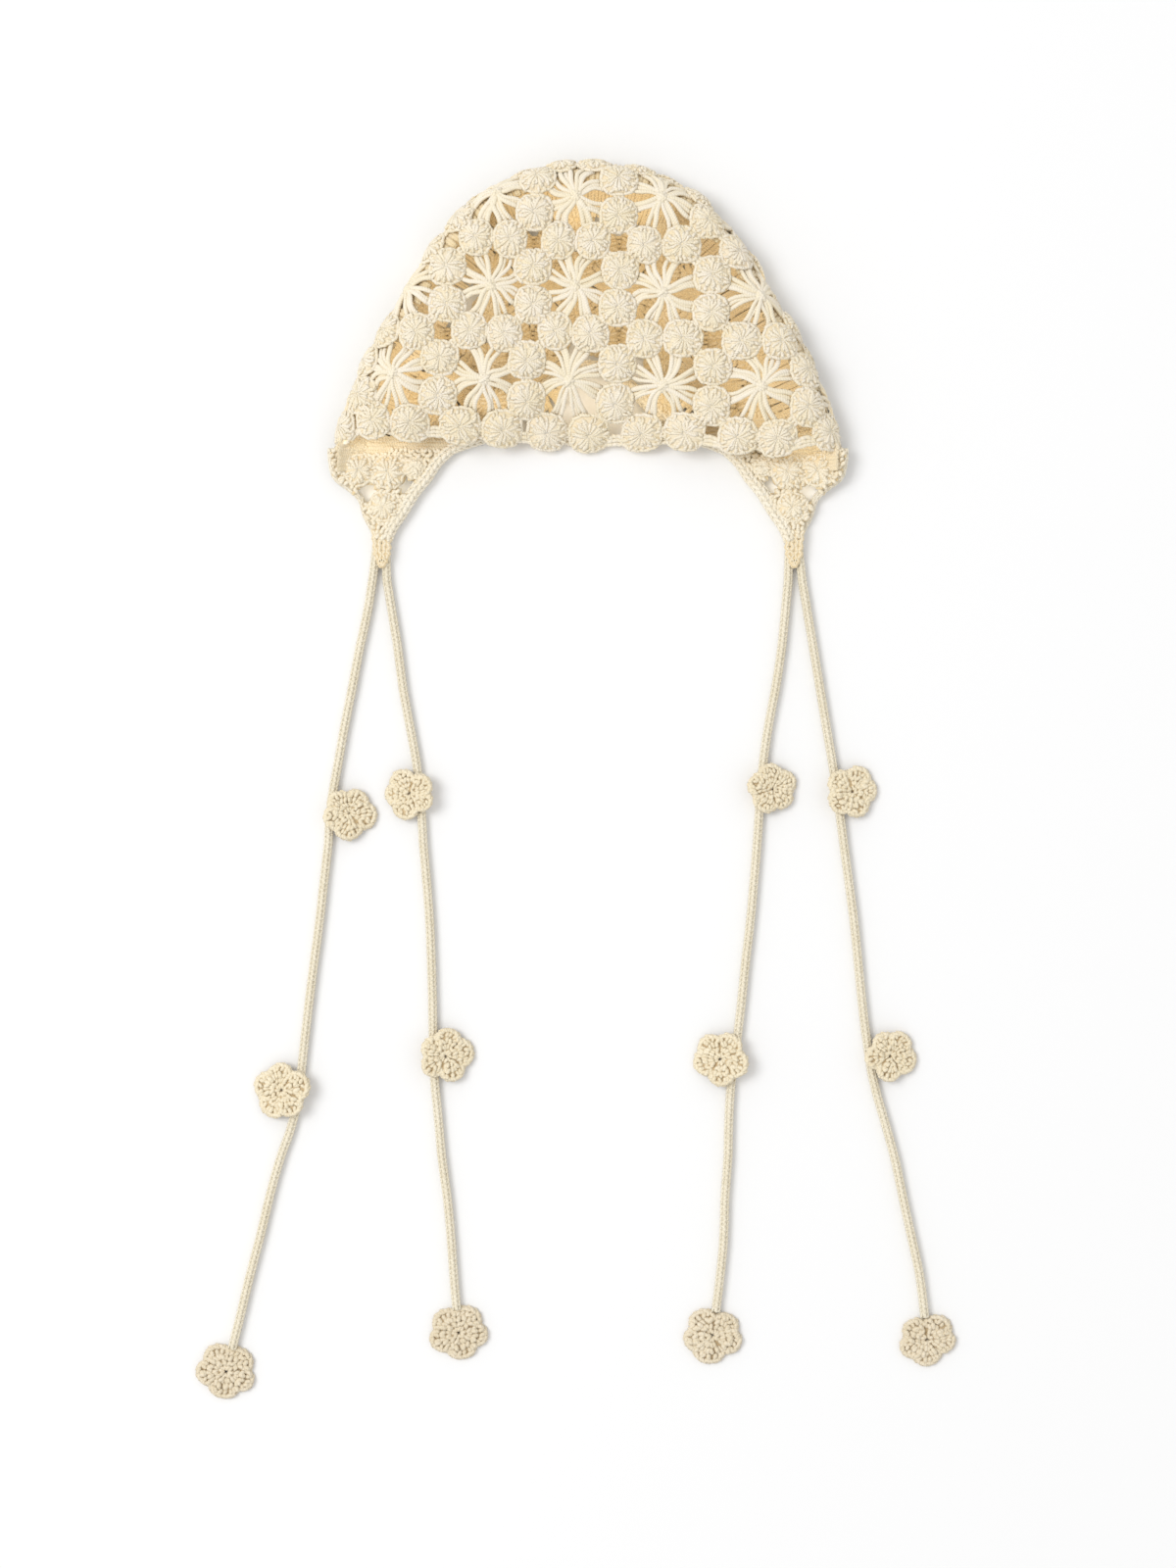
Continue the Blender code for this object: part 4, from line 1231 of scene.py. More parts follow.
    def _ring(self, yarn: YarnMesh, place: Lay, chance: np.random.Generator, rise: float) -> None:
        """Adds the ring of knobs between the tall stitches and the chain.

        Args:
            yarn: The mesh they join.
            place: Lays the round's own points.
            chance: What makes them differ.
            rise: The dome's rise.
        """
        count = self.knobs
        angle = self._around(chance, count, self.post_jitter)
        share = chance.uniform(*self.ring_reach, count)
        lift = self._high(share, rise) + chance.uniform(*self.ring_drop, count) * self.relief * MM
        places = polar(angle, share * self.radius, lift)
        runs = angle + chance.uniform(-self.ring_turn, self.ring_turn, count)
        half = chance.uniform(*self.ring_half, count) * MM
        length = chance.uniform(*self.ring_length, count) * MM
        # Painted shade on the knobs' undersides.
        knobs(yarn, place, places, runs, length, half, 0.0, 0.75, 0.4 * MM, 0.75 * self.relief)

    def _back(self, yarn: YarnMesh, place: Lay, chance: np.random.Generator) -> None:
        """Adds two rings of stitches on the inner face.

        Args:
            yarn: The mesh they join.
            place: Lays the round's own points.
            chance: What makes them differ.
        """
        for count, share, lift in self.back_rings:
            angle = self._around(chance, count, 0.20)
            places = polar(angle, self.radius * share, np.full(count, lift * MM))
            runs = angle + chance.uniform(-0.3, 0.3, count)
            # Painted shade: these stitches on the inner face take the ochre shade colour.
            knobs(yarn, place, places, runs, 4.6 * MM, 1.05 * MM, 0.75, -0.20, -0.4 * MM)


@dataclass
class Star:
    """Petals that meet in a raised knot, each of two strands and a lower one between them."""

    strand_half: float = 1.22 * MM
    spread: float = 1.72 * MM
    knot: float = 3.2 * MM
    start: float = 0.9 * MM
    hub_lift: float = 1.6 * MM
    rings: int = 7
    # Each ring's width as a share of the widest, the range of widths, and a strand's height as a share.
    taper: Row = (0.72, 0.92, 1.0, 1.03, 1.06, 1.06, 0.90)
    widths: Row = (0.82, 1.14)
    flat: float = 0.8
    # The knot's rise, and the loops over it: how many, their reach as a share, and widths in millimetres.
    knot_rise: float = 1.5 * MM
    loops: int = 4
    loop_reach: float = 1.15
    loop_taper: Row = (0.7, 1.05, 1.15, 1.05, 0.7)
    # How far petals and strands may stray sideways and in height, and the middle strand's drop: millimetres.
    sway: float = 2.2
    crook: float = 0.95
    uneven: float = 0.2
    middle_drop: float = 0.50

    def add(self, yarn: YarnMesh, lay: Lay, chance: np.random.Generator, ends: np.ndarray) -> None:
        """Adds one star.

        Args:
            yarn: The mesh it joins.
            lay: Places the star's own points, and gives the cloth's outward direction there.
            chance: What makes this star differ from the others.
            ends: The place where each petal ends, from the star's middle.
        """
        points = self._petals(chance, ends)
        half = self.strand_half * np.array(self.taper)
        half = half * chance.uniform(*self.widths, len(points))[:, None]
        # Painted shade: the strands' undersides take most of the shade colour.
        yarn.laid(lay, points, half, half * self.flat, 6, 0.0, 0.85)
        dome = Dome(12, 6)
        knot = dome.spots * (self.knot, self.knot, self.knot_rise) + (0, 0, self.knot_rise)
        # Painted shade: the knot, under the loops, takes a little of the shade colour.
        yarn.solids(lay(knot)[0][None], dome, dome.spots[:, :2] * MM, np.full(len(knot), 0.15))
        turns = chance.uniform(0, math.pi) + math.pi * np.arange(self.loops) / self.loops
        share = np.linspace(-1.0, 1.0, len(self.loop_taper))
        loops = np.zeros((self.loops, len(share), 3))
        loops[..., 0] = np.cos(turns)[:, None] * share * self.knot * self.loop_reach
        loops[..., 1] = np.sin(turns)[:, None] * share * self.knot * self.loop_reach
        loops[..., 2] = (2.7 - 1.5 * share**2) * MM + 0.10 * MM * np.arange(self.loops)[:, None]
        half = np.array(self.loop_taper) * MM
        yarn.laid(lay, loops, half, half * 0.5, 5, 0.0, 0.3)

    def _petals(self, chance: np.random.Generator, ends: np.ndarray) -> np.ndarray:
        """The middles of the petals' strands: strand, ring, place.

        Args:
            chance: What makes this star differ from the others.
            ends: The place where each petal ends.

        Returns:
            The places, three strands to a petal.
        """
        t = np.linspace(0.0, 1.0, self.rings)
        length = np.linalg.norm(ends, axis=1)
        out = ends / length[:, None]
        beside = left_of(out)
        far = self.start + (length - self.start)[:, None] * t
        bow = self.spread * (0.30 + 0.95 * t**0.7 + 0.25 * t**6)
        sway = chance.uniform(-self.sway, self.sway, len(ends))[:, None] * MM * np.sin(math.pi * t)
        paths = []
        for lane in (-1, 0, 1):
            crook = chance.uniform(-self.crook, self.crook, (2, len(ends)))[..., None] * MM
            crook = crook[0] * np.sin(math.tau * t) + crook[1] * t
            place = out[:, None] * far[..., None] + beside[:, None] * (lane * bow + sway + crook)[..., None]
            lift = self.hub_lift * (1 - t) ** 1.6 + 0.5 * MM * np.sin(math.pi * t) - 1.0 * MM * t**3
            drop = self.middle_drop if lane == 0 else 0.0
            lift = lift - drop * MM + chance.uniform(-self.uneven, self.uneven, len(ends))[:, None] * MM
            paths.append(np.concatenate([place, np.broadcast_to(lift, far.shape)[..., None]], axis=2))
        return np.concatenate(paths)


@dataclass
class Crown:
    """The crown: rounds, stars and joins on both faces, the turn of the fold, the rim and the seams.

    A star has eight petals on the upper face. On the lower one it has eight more between them.
    """

    shape: HatShape
    puff: Puff = field(default_factory=Puff)
    star: Star = field(default_factory=Star)
    lower_star: Star = field(default_factory=lambda: Star(strand_half=1.6 * MM, spread=2.6 * MM))
    pair: float = 18.9 * MM
    across: float = 9.9 * MM
    gap_half: float = 3.9 * MM
    rim_gap_half: float = 2.6 * MM
    lower_gap_half: float = 2.0 * MM
    wrapped: float = -16.0 * MM
    seed: int = 7
    # Where motifs are kept: over the rim, inside the band and the crease, and clear of what comes round.
    rim_room: float = 3.0 * MM
    band_room: float = 5.0 * MM
    crease_room: float = 12.0 * MM
    round_room: float = 11.5 * MM
    star_room: float = 16.0 * MM
    # How far a round reaches: at least, and at most on each face and at the middle of the rim.
    least_reach: float = 8.2 * MM
    upper_reach: float = 11.0 * MM
    lower_reach: float = 12.2 * MM
    rim_reach: float = 12.6 * MM
    closed_gap_half: float = 0.4 * MM
    overlap: float = 0.4 * MM
    rim_row: float = 16.0 * MM
    rim_middle: float = 70.0 * MM
    turned: float = 9.0 * MM
    # Petals: where they aim, how far off a round may be, and where they end, as shares.
    petal_aim: float = 23.8 * MM
    aim_slack: float = 7.0 * MM
    petal_end: float = 0.86
    between_end: float = 0.82
    # Joins: the rounds' greatest distance, their clearance of gaps, and the strands' lanes in millimetres.
    join_gap: float = 23.5 * MM
    join_room: float = 4.0 * MM
    join_least: float = 2.0 * MM
    join_tuck: float = 1.8 * MM
    upper_lanes: Row = (-1.9, 0.0, 1.9)
    lower_lanes: Row = (-4.4, -2.3, 0.0, 2.3, 4.4)
    # The fold: strands' spacing, width and rings, and their reach in millimetres inwards over the face and
    # outwards round the fold, near the seams and higher up.
    fold_pitch: float = 2.2 * MM
    fold_half: float = 1.4 * MM
    fold_rings: int = 18
    fold_inwards: Row = (4.5, 14.0)
    fold_outwards: Row = (20.0, 38.0)
    # The rim: where its rounds are close, and its links.
    rim_close: float = 20.0 * MM
    link_pitch: float = 2.7 * MM
    link_length: float = 4.0 * MM
    link_half: float = 1.15 * MM
    # The seams: rows, their spacing, their strands' rings and width, and where the flaps' rows begin.
    seam_rows: tuple[int, int] = (-5, 10)
    seam_pitch: float = 1.8
    seam_rings: int = 14
    seam_half: float = 1.5 * MM
    seam_start: float = 92.0 * MM

    def star_grid(self, side: Side) -> np.ndarray:
        """A face's stars: row, column, place.

        Args:
            side: The face.

        Returns:
            Plan points.
        """
        if side is Side.UPPER:
            return STAR_CHART * MM
        shifted = COLUMNS + COLUMN_PITCH / 2
        columns = np.concatenate([[shifted[0] - COLUMN_PITCH], shifted]) * self.shape.half_width
        return np.stack(np.meshgrid(columns, ROWS * self.shape.height), axis=-1)

    def round_places(self, stars: np.ndarray) -> np.ndarray:
        """The middles of a net's rounds: two between each two neighbouring stars.

        Args:
            stars: The net's stars: row, column, place.

        Returns:
            Plan points, one row each.
        """
        places = []
        for a, b in ((stars[:, :-1], stars[:, 1:]), (stars[:-1], stars[1:])):
            beside = left_of(unit(b - a))
            for sign in (-1, 1):
                places.append(((a + b) / 2 + sign * beside * self.pair / 2).reshape(-1, 2))
        return np.concatenate(places)

    def gap_places(self, stars: np.ndarray) -> np.ndarray:
        """The middles of a net's square gaps: one between each four stars."""
        return ((stars[:-1, :-1] + stars[1:, :-1] + stars[:-1, 1:] + stars[1:, 1:]) / 4).reshape(-1, 2)

    def kept_upper(self, places: np.ndarray) -> np.ndarray:
        """Those upper places that are over the rim, or a little way round the fold.

        Args:
            places: Plan points.

        Returns:
            The plan points that are kept.
        """
        shape = self.shape
        inset, _ = shape.inset(places)
        over_rim = places[:, 1] > np.interp(places[:, 0], shape.rim[:, 0], shape.rim[:, 1]) + self.rim_room
        arc = Drape(shape, Side.UPPER).arc_at(places)
        return places[over_rim & ((inset > 0) | (arc > self.wrapped))]

    def kept_lower(self, places: np.ndarray, taken: np.ndarray, room: float) -> np.ndarray:
        """Those lower places that are inside the band and clear of what comes round the fold.

        Args:
            places: Plan points.
            taken: The plan places of the motifs that come round the fold.
            room: The least distance to them.

        Returns:
            The plan points that are kept.
        """
        shape = self.shape
        edge = nearest(shape.lower_edge(), places)[0]
        inset, _ = shape.inset(places)
        clear = np.linalg.norm(places[:, None] - taken, axis=-1).min(axis=1) > room
        inside = shape.on_face(Side.LOWER, places) & (edge > self.band_room) & (inset > self.crease_room)
        return places[inside & clear]

    def build(self) -> list[bpy.types.Object]:
        """Builds the crown's pieces.

        Returns:
            The rounds and the stars of each face, the fold, the rim and the seams.
        """
        finish = CROWN_YARN.material()
        upper = Drape(self.shape, Side.UPPER)
        lower = Drape(self.shape, Side.LOWER)
        star_grid = self.star_grid(Side.UPPER)
        every = self.round_places(star_grid)
        rounds = self.kept_upper(every)
        stars = self.kept_upper(star_grid.reshape(-1, 2))
        gaps = self.gap_places(star_grid)
        taken = self._came_round(upper, np.vstack([rounds, stars]))
        pieces = [
            self._rounds(upper, rounds, gaps, "crown_rounds_upper", finish),
            self._stars(upper, rounds, every, stars, gaps, "crown_stars_upper", finish),
        ]
        rim = self._rim(rounds, finish)
        star_grid = self.star_grid(Side.LOWER)
        every = self.round_places(star_grid)
        rounds = self.kept_lower(every, taken, self.round_room)
        stars = self.kept_lower(star_grid.reshape(-1, 2), taken, self.star_room)
        gaps = self.gap_places(star_grid)
        pieces += [
            self._rounds(lower, rounds, gaps, "crown_rounds_lower", finish),
            self._stars(lower, rounds, every, stars, gaps, "crown_stars_lower", finish),
        ]
        return [*pieces, self._fold(finish), rim]

    def _came_round(self, drape: Drape, places: np.ndarray) -> np.ndarray:
        """The plan places of those upper motifs that have come round to the lower face."""
        behind = places[drape.arc_at(places) < 0]
        return np.array([drape.lay(p, np.zeros((1, 3)))[0][0, :2] for p in behind]) + (0.0, self.shape.middle)

    def _rounds(
        self, drape: Drape, places: np.ndarray, gaps: np.ndarray, name: str, finish: bpy.types.Material
    ) -> bpy.types.Object:
        """Builds a face's rounds as one piece.

        Args:
            drape: Lays them on their face.
            places: Their middles in plan.
            gaps: The middles of the net's gaps.
            name: The piece's name.
            finish: Its material.

        Returns:
            The piece, in the scene.
        """
        yarn = YarnMesh(seed=self.seed)
        chance = np.random.default_rng(self.seed)
        behind = drape.arc_at(places) < self.turned
        above = drape.side is Side.UPPER
        for place, turned in zip(places, behind):
            away = gaps[np.linalg.norm(gaps - place, axis=1).argmin()] - place
            room = np.linalg.norm(away)
            axis = away / room
            half = self.gap_half if above else self.lower_gap_half
            most = self.upper_reach if above else self.lower_reach
            if above and place[1] < self.rim_row:
                half = self.rim_gap_half
                if abs(place[0]) < self.rim_middle:
                    half, most = self.closed_gap_half, self.rim_reach
            towards = np.clip(room - half, self.least_reach, most)
            partner = self.pair / 2 + self.overlap
            centre = place + axis * (towards - partner) / 2
            stretch = ((towards + partner) / 2 / self.puff.radius, self.across / self.puff.radius)
            back = bool(turned) or not above
            turn = math.atan2(axis[1], axis[0])
            self.puff.add(yarn, partial(drape.lay, centre), chance, stretch, turn, back)
        LOG.info("%s: %d rounds", name, len(places))
        return yarn.finish(name, finish)

    def _stars(
        self,
        drape: Drape,
        rounds: np.ndarray,
        every: np.ndarray,
        stars: np.ndarray,
        gaps: np.ndarray,
        name: str,
        finish: bpy.types.Material,
    ) -> bpy.types.Object:
        """Builds a face's stars, and the short joins between its rounds, as one piece.

        Args:
            drape: Lays them on their face.
            rounds: The face's rounds, in plan.
            every: The whole net's rounds, at which the petals aim.
            stars: The stars' middles in plan.
            gaps: The middles of the net's gaps.
            name: The piece's name.
            finish: Its material.

        Returns:
            The piece, in the scene.
        """
        yarn = YarnMesh(seed=self.seed + 1)
        chance = np.random.default_rng(self.seed + 1)
        star = self.star if drape.side is Side.UPPER else self.lower_star
        eighths = math.radians(22.5) + math.tau * np.arange(8) / 8
        ideal = self.petal_aim * np.stack([np.cos(eighths), np.sin(eighths)], axis=1)
        for centre in stars:
            aims = []
            for aim in ideal:
                near = every[np.linalg.norm(every - centre - aim, axis=1).argmin()] - centre
                aims.append(near if np.linalg.norm(near - aim) < self.aim_slack else aim)
            aims = np.array(aims)
            ends = aims * (1 - self.across * self.petal_end / np.linalg.norm(aims, axis=1))[:, None]
            if drape.side is Side.LOWER:
                ends = np.vstack([ends, (aims + np.roll(aims, -1, axis=0)) / 2 * self.between_end])
            star.add(yarn, partial(drape.lay, centre), chance, ends)
        self._joins(drape, rounds, gaps, yarn)
        LOG.info("%s: %d stars", name, len(stars))
        return yarn.finish(name, finish)

    def _joins(self, drape: Drape, rounds: np.ndarray, gaps: np.ndarray, yarn: YarnMesh) -> None:
        """Adds three short strands between each two rounds that lie side by side, but none across a gap.

        Args:
            drape: Lays them on their face.
            rounds: The face's rounds, in plan.
            gaps: The middles of the net's gaps.
            yarn: The mesh they join.
        """
        t = np.linspace(-1, 1, 4)
        half = np.array([0.7, 1.05, 1.05, 0.7]) * MM
        lanes = np.array(self.upper_lanes if drape.side is Side.UPPER else self.lower_lanes)
        for i, a in enumerate(rounds):
            for b in rounds[i + 1 :]:
                gap = np.linalg.norm(b - a)
                across = np.linalg.norm(gaps - (a + b) / 2, axis=1).min()
                if gap > self.join_gap or across < self.join_room:
                    continue
                run = (b - a) / gap
                beside = left_of(run)
                reach = max(self.join_least, gap / 2 - self.puff.radius + self.join_tuck)
                points = np.zeros((len(lanes), 4, 3))
                for k, lane in enumerate(lanes):
                    points[k, :, :2] = np.outer(t * reach, run) + beside * lane * MM
                    points[k, :, 2] = (-0.2 - 0.5 * t**2) * MM
                yarn.laid(partial(drape.lay, (a + b) / 2), points, half, half)

    def _fold(self, finish: bpy.types.Material) -> bpy.types.Object:
        """Builds the close stitches that turn round the crease behind the motifs.

        Args:
            finish: Its material.

        Returns:
            The piece, in the scene.
        """
        yarn = YarnMesh(seed=self.seed + 2)
        drape = Drape(self.shape, Side.UPPER)
        crease = spaced_line(self.shape.crease, self.fold_pitch)
        runs = runs_of(crease)
        paths, ups, shade_weights = [], [], []
        for k, (place, run) in enumerate(zip(crease, runs)):
            out = left_of(run)
            inwards = self.fold_inwards[int(place[1] > 20.0 * MM)] * MM
            outwards = self.fold_outwards[int(place[1] > 12.0 * MM)] * MM
            across = np.linspace(-inwards, outwards, self.fold_rings)
            lean = np.linspace(-0.4, 0.4, self.fold_rings) * (1.0 if k % 2 else -1.0) * MM
            local = np.zeros((self.fold_rings, 3))
            local[:, :2] = np.outer(across, out) + np.outer(lean, run)
            edge = np.interp(place[1] / MM, (14.0, 26.0), (-0.5, -1.9))
            local[:, 2] = np.interp(across / MM, (-6.0, -2.0, 8.0, 14.0), (-1.9, edge, edge, -1.9)) * MM
            spots, normals = drape.lay(place, local)
            paths.append(spots)
            ups.append(normals)
            # Painted shade: the strands take the ochre shade colour where they run in under the motifs, and
            # little where they turn round the crease.
            shade_weights.append(np.interp(across / MM, (-14.0, -7.0, -1.0, 10.0), (0.95, 0.80, 0.30, 0.20)))
        wide = self.fold_half * np.concatenate([[0.7, 0.9], np.ones(self.fold_rings - 4), [0.9, 0.7]])
        yarn.strands(np.array(paths), np.array(ups), wide, wide * 0.6, 5, np.array(shade_weights), 0.5)
        return yarn.finish("crown_fold", finish)

    def _rim(self, rounds: np.ndarray, finish: bpy.types.Material) -> bpy.types.Object:
        """Builds the chains that bridge the rim's rounds, and the close stitches at the flaps' seams.

        Args:
            rounds: The upper face's rounds, in plan.
            finish: The piece's material.

        Returns:
            The piece, in the scene.
        """
        yarn = YarnMesh(seed=self.seed + 3)
        chance = np.random.default_rng(self.seed + 3)
        upper = Drape(self.shape, Side.UPPER)
        lower = Drape(self.shape, Side.LOWER)
        low = rounds[rounds[:, 1] < self.rim_row]
        low = low[np.argsort(low[:, 0])]
        reach = self.across
        for a, b in zip(low[:-1], low[1:]):
            close = b[0] - a[0] < self.rim_close
            first, last = a + (0.70 * reach, -0.60 * reach), b + (-0.70 * reach, -0.60 * reach)
            for row in range(2 if close else 3):
                bow = (0.6 + 1.9 * row) * MM
                ends = np.array([first, (first + last) / 2, last]) + np.outer((0.5, 1.0, 0.5), (0.0, bow))
                line = smooth_line(ends, self.link_pitch)
                for place, run in zip(line, runs_of(line)):
                    local = np.array([[0.0, 0.0, (chance.uniform(0.0, 0.35) - (1.2 if close else 0.0)) * MM]])
                    turn = np.array([math.atan2(run[1], run[0]) + chance.uniform(-0.25, 0.25)])
                    knobs(yarn, partial(upper.lay, place), local, turn, self.link_length, self.link_half)
        arch = self.shape.lower_edge()
        arch = arch[: len(arch) // 2]
        count = self.seam_rings
        for row in range(*self.seam_rows):
            y = (self.seam_pitch * row - 1.4) * MM
            for sign in (-1, 1):
                first = abs(np.interp(y, arch[:, 1], arch[:, 0])) + 2.5 * MM if row > 0 else self.seam_start
                xs = np.linspace(first, self.shape.half_width - 0.8 * MM, count)
                line = np.column_stack([sign * xs, y + chance.uniform(-0.3, 0.3, count) * MM])
                lift = (-1.5 + chance.uniform(-0.15, 0.15, count)) * MM
                spots = [lower.lay(p, np.array([[0.0, 0.0, z]])) for p, z in zip(line, lift)]
                path = np.array([spot[0] for spot, _ in spots])
                ups = -np.array([normal[0] for _, normal in spots])
                half = np.full(count, self.seam_half)
                # Painted shade: these rows lie in the pocket under the rim and take the ochre shade colour.
                yarn.strands(path[None], ups[None], half, half * 0.42, 6, 0.55, 0.3)
        return yarn.finish("crown_rim", finish)


@dataclass
class CordStitch:
    """A crocheted cord: a core with rows of leaning links round it."""

    diameter: float
    pitch: float = 2.6 * MM
    rows: int = 6
    core: float = 0.84
    core_sides: int = 10
    # The links: their lean in radians, and their distance out, width and height as shares of the radius.
    lean: float = 0.42
    out: Row = (0.74, 0.83, 0.83, 0.74)
    taper: Row = (0.6, 1.0, 1.0, 0.6)
    high: float = 0.17

    def add(self, yarn: YarnMesh, line: np.ndarray, depth: float = 0.0) -> None:
        """Adds a cord along a line.

        Args:
            yarn: The mesh it joins.
            line: Its middle, one row a point, in the row frame.
            depth: The painted shade it takes.
        """
        radius = self.diameter / 2
        fine = spaced_line(line, self.pitch)
        up = np.broadcast_to(np.array([0.0, 0.0, 1.0]), fine.shape)
        half = np.full(len(fine), radius * self.core)
        half[[0, -1]] *= 0.7
        # Painted shade: the core, under the links, takes a little more of the shade colour.
        yarn.strands(fine[None], up[None], half, half, self.core_sides, depth + 0.15, 0.2)
        across = unit(np.cross(runs_of(fine), up))
        high = np.cross(across, runs_of(fine))
        share = np.linspace(-0.22, 1.22, 4)
        place = np.clip(np.arange(len(fine) - 1)[:, None] + share, 0.0, len(fine) - 1.0)
        middle, sideways, upward = (along(values, place) for values in (fine, across, high))
        wide = radius * 2.5 / self.rows * np.array(self.taper)
        for row in range(self.rows):
            lean = self.lean if row % 2 else -self.lean
            angle = (math.tau * (row + 0.5) / self.rows + lean * (share - 0.5))[None, :, None]
            out = sideways * np.cos(angle) + upward * np.sin(angle)
            points = middle + out * radius * np.array(self.out)[None, :, None]
            # Painted shade on the links' undersides.
            yarn.strands(points, out, wide, np.full(4, self.high * radius), 5, depth, 0.35)


@dataclass
class EarFlap:
    """One ear flap: rounds and close stitches between its two bands, with its inside up."""

    shape: HatShape
    name: str
    sign: int
    puff: Puff = field(default_factory=lambda: Puff(rise=3.4 * MM, posts=13, knobs=18, links=13, relief=1.4))
    row_pitch: float = 2.3 * MM
    stitch_pitch: float = 2.1 * MM
    seed: int = 21
    # The wedge of stitches at the tip: rows, its half widths in millimetres at three, and a stitch's size.
    wrap_rows: int = 9
    wrap_at: Row = (0, 5, 8)
    wrap_halves: Row = (3.8, 3.1, 0.9)
    wrap_length: float = 3.6 * MM
    wrap_half: float = 1.35 * MM
    # The close stitches: how clear of gaps they stay, their share of a round that is free, and their taper.
    gap_room: float = 0.9
    inner_room: float = 2.9 * MM
    outer_room: float = 0.8 * MM
    pocket_room: float = 4.5 * MM
    ground_room: float = 1.5 * MM
    round_share: float = 0.8
    taper: Row = (0.6, 1.05, 1.05, 0.6)
    ground_half: float = 1.7 * MM
    ground_high: float = 0.5 * MM

    def build(self) -> bpy.types.Object:
        """Builds the flap's net.

        Returns:
            The piece.
        """
        yarn = YarnMesh(seed=self.seed)
        chance = np.random.default_rng(self.seed + self.sign)
        self._stitches(yarn, chance)
        self._wrap(yarn, chance)
        for across, drop, size in FLAP_ROUNDS:
            centre = np.array([across * self.shape.half_width, -drop * self.shape.flap_drop, 0.0])
            for face in (1.0, -1.0):
                turn = chance.uniform(0, 3)
                self.puff.add(yarn, partial(self._lay, centre, face), chance, (size, size), turn)
        return yarn.finish(f"{self.name}_net", FLAP_YARN.material())

    def _sides(self, drop: float) -> tuple[float, float]:
        """The inner and outer bands' distance from the middle of the hat at a share of the drop."""
        inner = np.interp(drop, FLAP[:, 0], FLAP[:, 1]) * self.shape.half_width
        return inner, np.interp(drop, FLAP[:, 0], FLAP[:, 2]) * self.shape.half_width

    def _lay(self, centre: np.ndarray, face: float, local: np.ndarray) -> tuple[np.ndarray, np.ndarray]:
        """Places points on one face of the flap.

        Args:
            centre: A motif's middle: distance from the middle of the hat, Y, and zero.
            face: 1 for the face that is up, -1 for the one that is down.
            local: The points from there.

        Returns:
            The points in the row frame, and the outward direction at each.
        """
        spots = local + centre
        plan = np.stack([self.sign * spots[:, 0], spots[:, 1]], axis=1)
        middle = self.shape.flap_height(plan) + self.shape.wall / 2
        high = np.maximum(middle + (spots[:, 2] + 0.6 * MM) * face, 0.3 * MM)
        ups = np.tile(np.array([0.0, 0.0, face]), (len(local), 1))
        return self.shape.to_row(np.column_stack([plan, high])), ups

    def _wrap(self, yarn: YarnMesh, chance: np.random.Generator) -> None:
        """Adds the stitches that join the two ties at the flap's tip, on both faces.

        Args:
            yarn: The mesh they join.
            chance: What makes them differ.
        """
        tip = np.array([self.sign, 1.0]) * self.shape.flap_tip(self.sign)
        for row in range(self.wrap_rows):
            half = np.interp(row, self.wrap_at, self.wrap_halves)
            across = half * np.linspace(-1.0, 1.0, 4) * MM + chance.uniform(-0.2, 0.2, 4) * MM
            places = np.column_stack([across, np.full(4, (5.6 - 2.0 * row) * MM), np.full(4, -0.5 * MM)])
            runs = math.pi / 2 + np.array([0.5, -0.5, 0.5, -0.5]) * (-1) ** row + chance.uniform(-0.3, 0.3, 4)
            for face in (1.0, -1.0):
                lay = partial(self._lay, np.append(tip, 0.0), face)
                # Painted shade: the rows take a little more of the shade colour row by row down towards the
                # ties.
                knobs(yarn, lay, places, runs, self.wrap_length, self.wrap_half, 0.03 * row)

    def _stitches(self, yarn: YarnMesh, chance: np.random.Generator) -> None:
        """Adds close stitches on both faces, between the rounds and round the gaps.

        Args:
            yarn: The mesh they join.
            chance: What makes them differ.
        """
        shape = self.shape
        scale = (shape.half_width, -shape.flap_drop)
        gaps = np.column_stack([FLAP_GAPS[:, :2] * scale, (FLAP_GAPS[:, 2] + self.gap_room) * MM])
        free = FLAP_ROUNDS[:, 2] * self.puff.radius * self.round_share
        rounds = np.column_stack([FLAP_ROUNDS[:, :2] * scale, free])
        t = np.linspace(-1.0, 1.0, 4)
        paths: dict[float, list[np.ndarray]] = {1.0: [], -1.0: []}
        ground = []
        flat = np.zeros((4, 3))
        flat[:, 0] = t * 1.9 * MM
        row = 0
        for y in np.arange(-shape.seam_drop, -shape.flap_drop * 0.96, -self.row_pitch):
            inner, outer = self._sides(max(0.0, -y / shape.flap_drop))
            first, last = inner + self.inner_room, outer - self.outer_room
            count = max(1, round((last - first) / self.stitch_pitch))
            row += 1
            for x in np.linspace(first, last, count + 1) + (self.stitch_pitch / 2 if row % 2 else 0.0):
                pocket = np.interp(x / MM, *POCKETS[self.sign].T) * MM
                pocket = 0.0 if x > last - self.pocket_room else pocket
                if x > last + 0.5 * MM or y > -pocket or within(x, y, gaps):
                    continue
                if x < last - self.ground_room:
                    ground.append(self._lay(np.array([x, y, -0.4 * MM]), 1.0, flat)[0])
                if within(x, y, rounds):
                    continue
                for face, lanes in paths.items():
                    run = np.array([chance.uniform(-1.8, 1.8), 1.0])
                    local = np.zeros((4, 3))
                    local[:, :2] = np.outer(t * 1.7 * MM, run / np.hypot(*run))
                    local[:, :2] += chance.uniform(-0.6, 0.6, 2) * MM
                    local[:, 2] = (0.35 - 0.7 * t**2 + chance.uniform(-0.25, 0.45)) * MM
                    lanes.append(self._lay(np.array([x, y, 0.0]), face, local)[0])
        ups = np.broadcast_to(np.array([0.0, 0.0, 1.0]), (len(ground), 4, 3))
        wide, high = np.full(4, self.ground_half), np.full(4, self.ground_high)
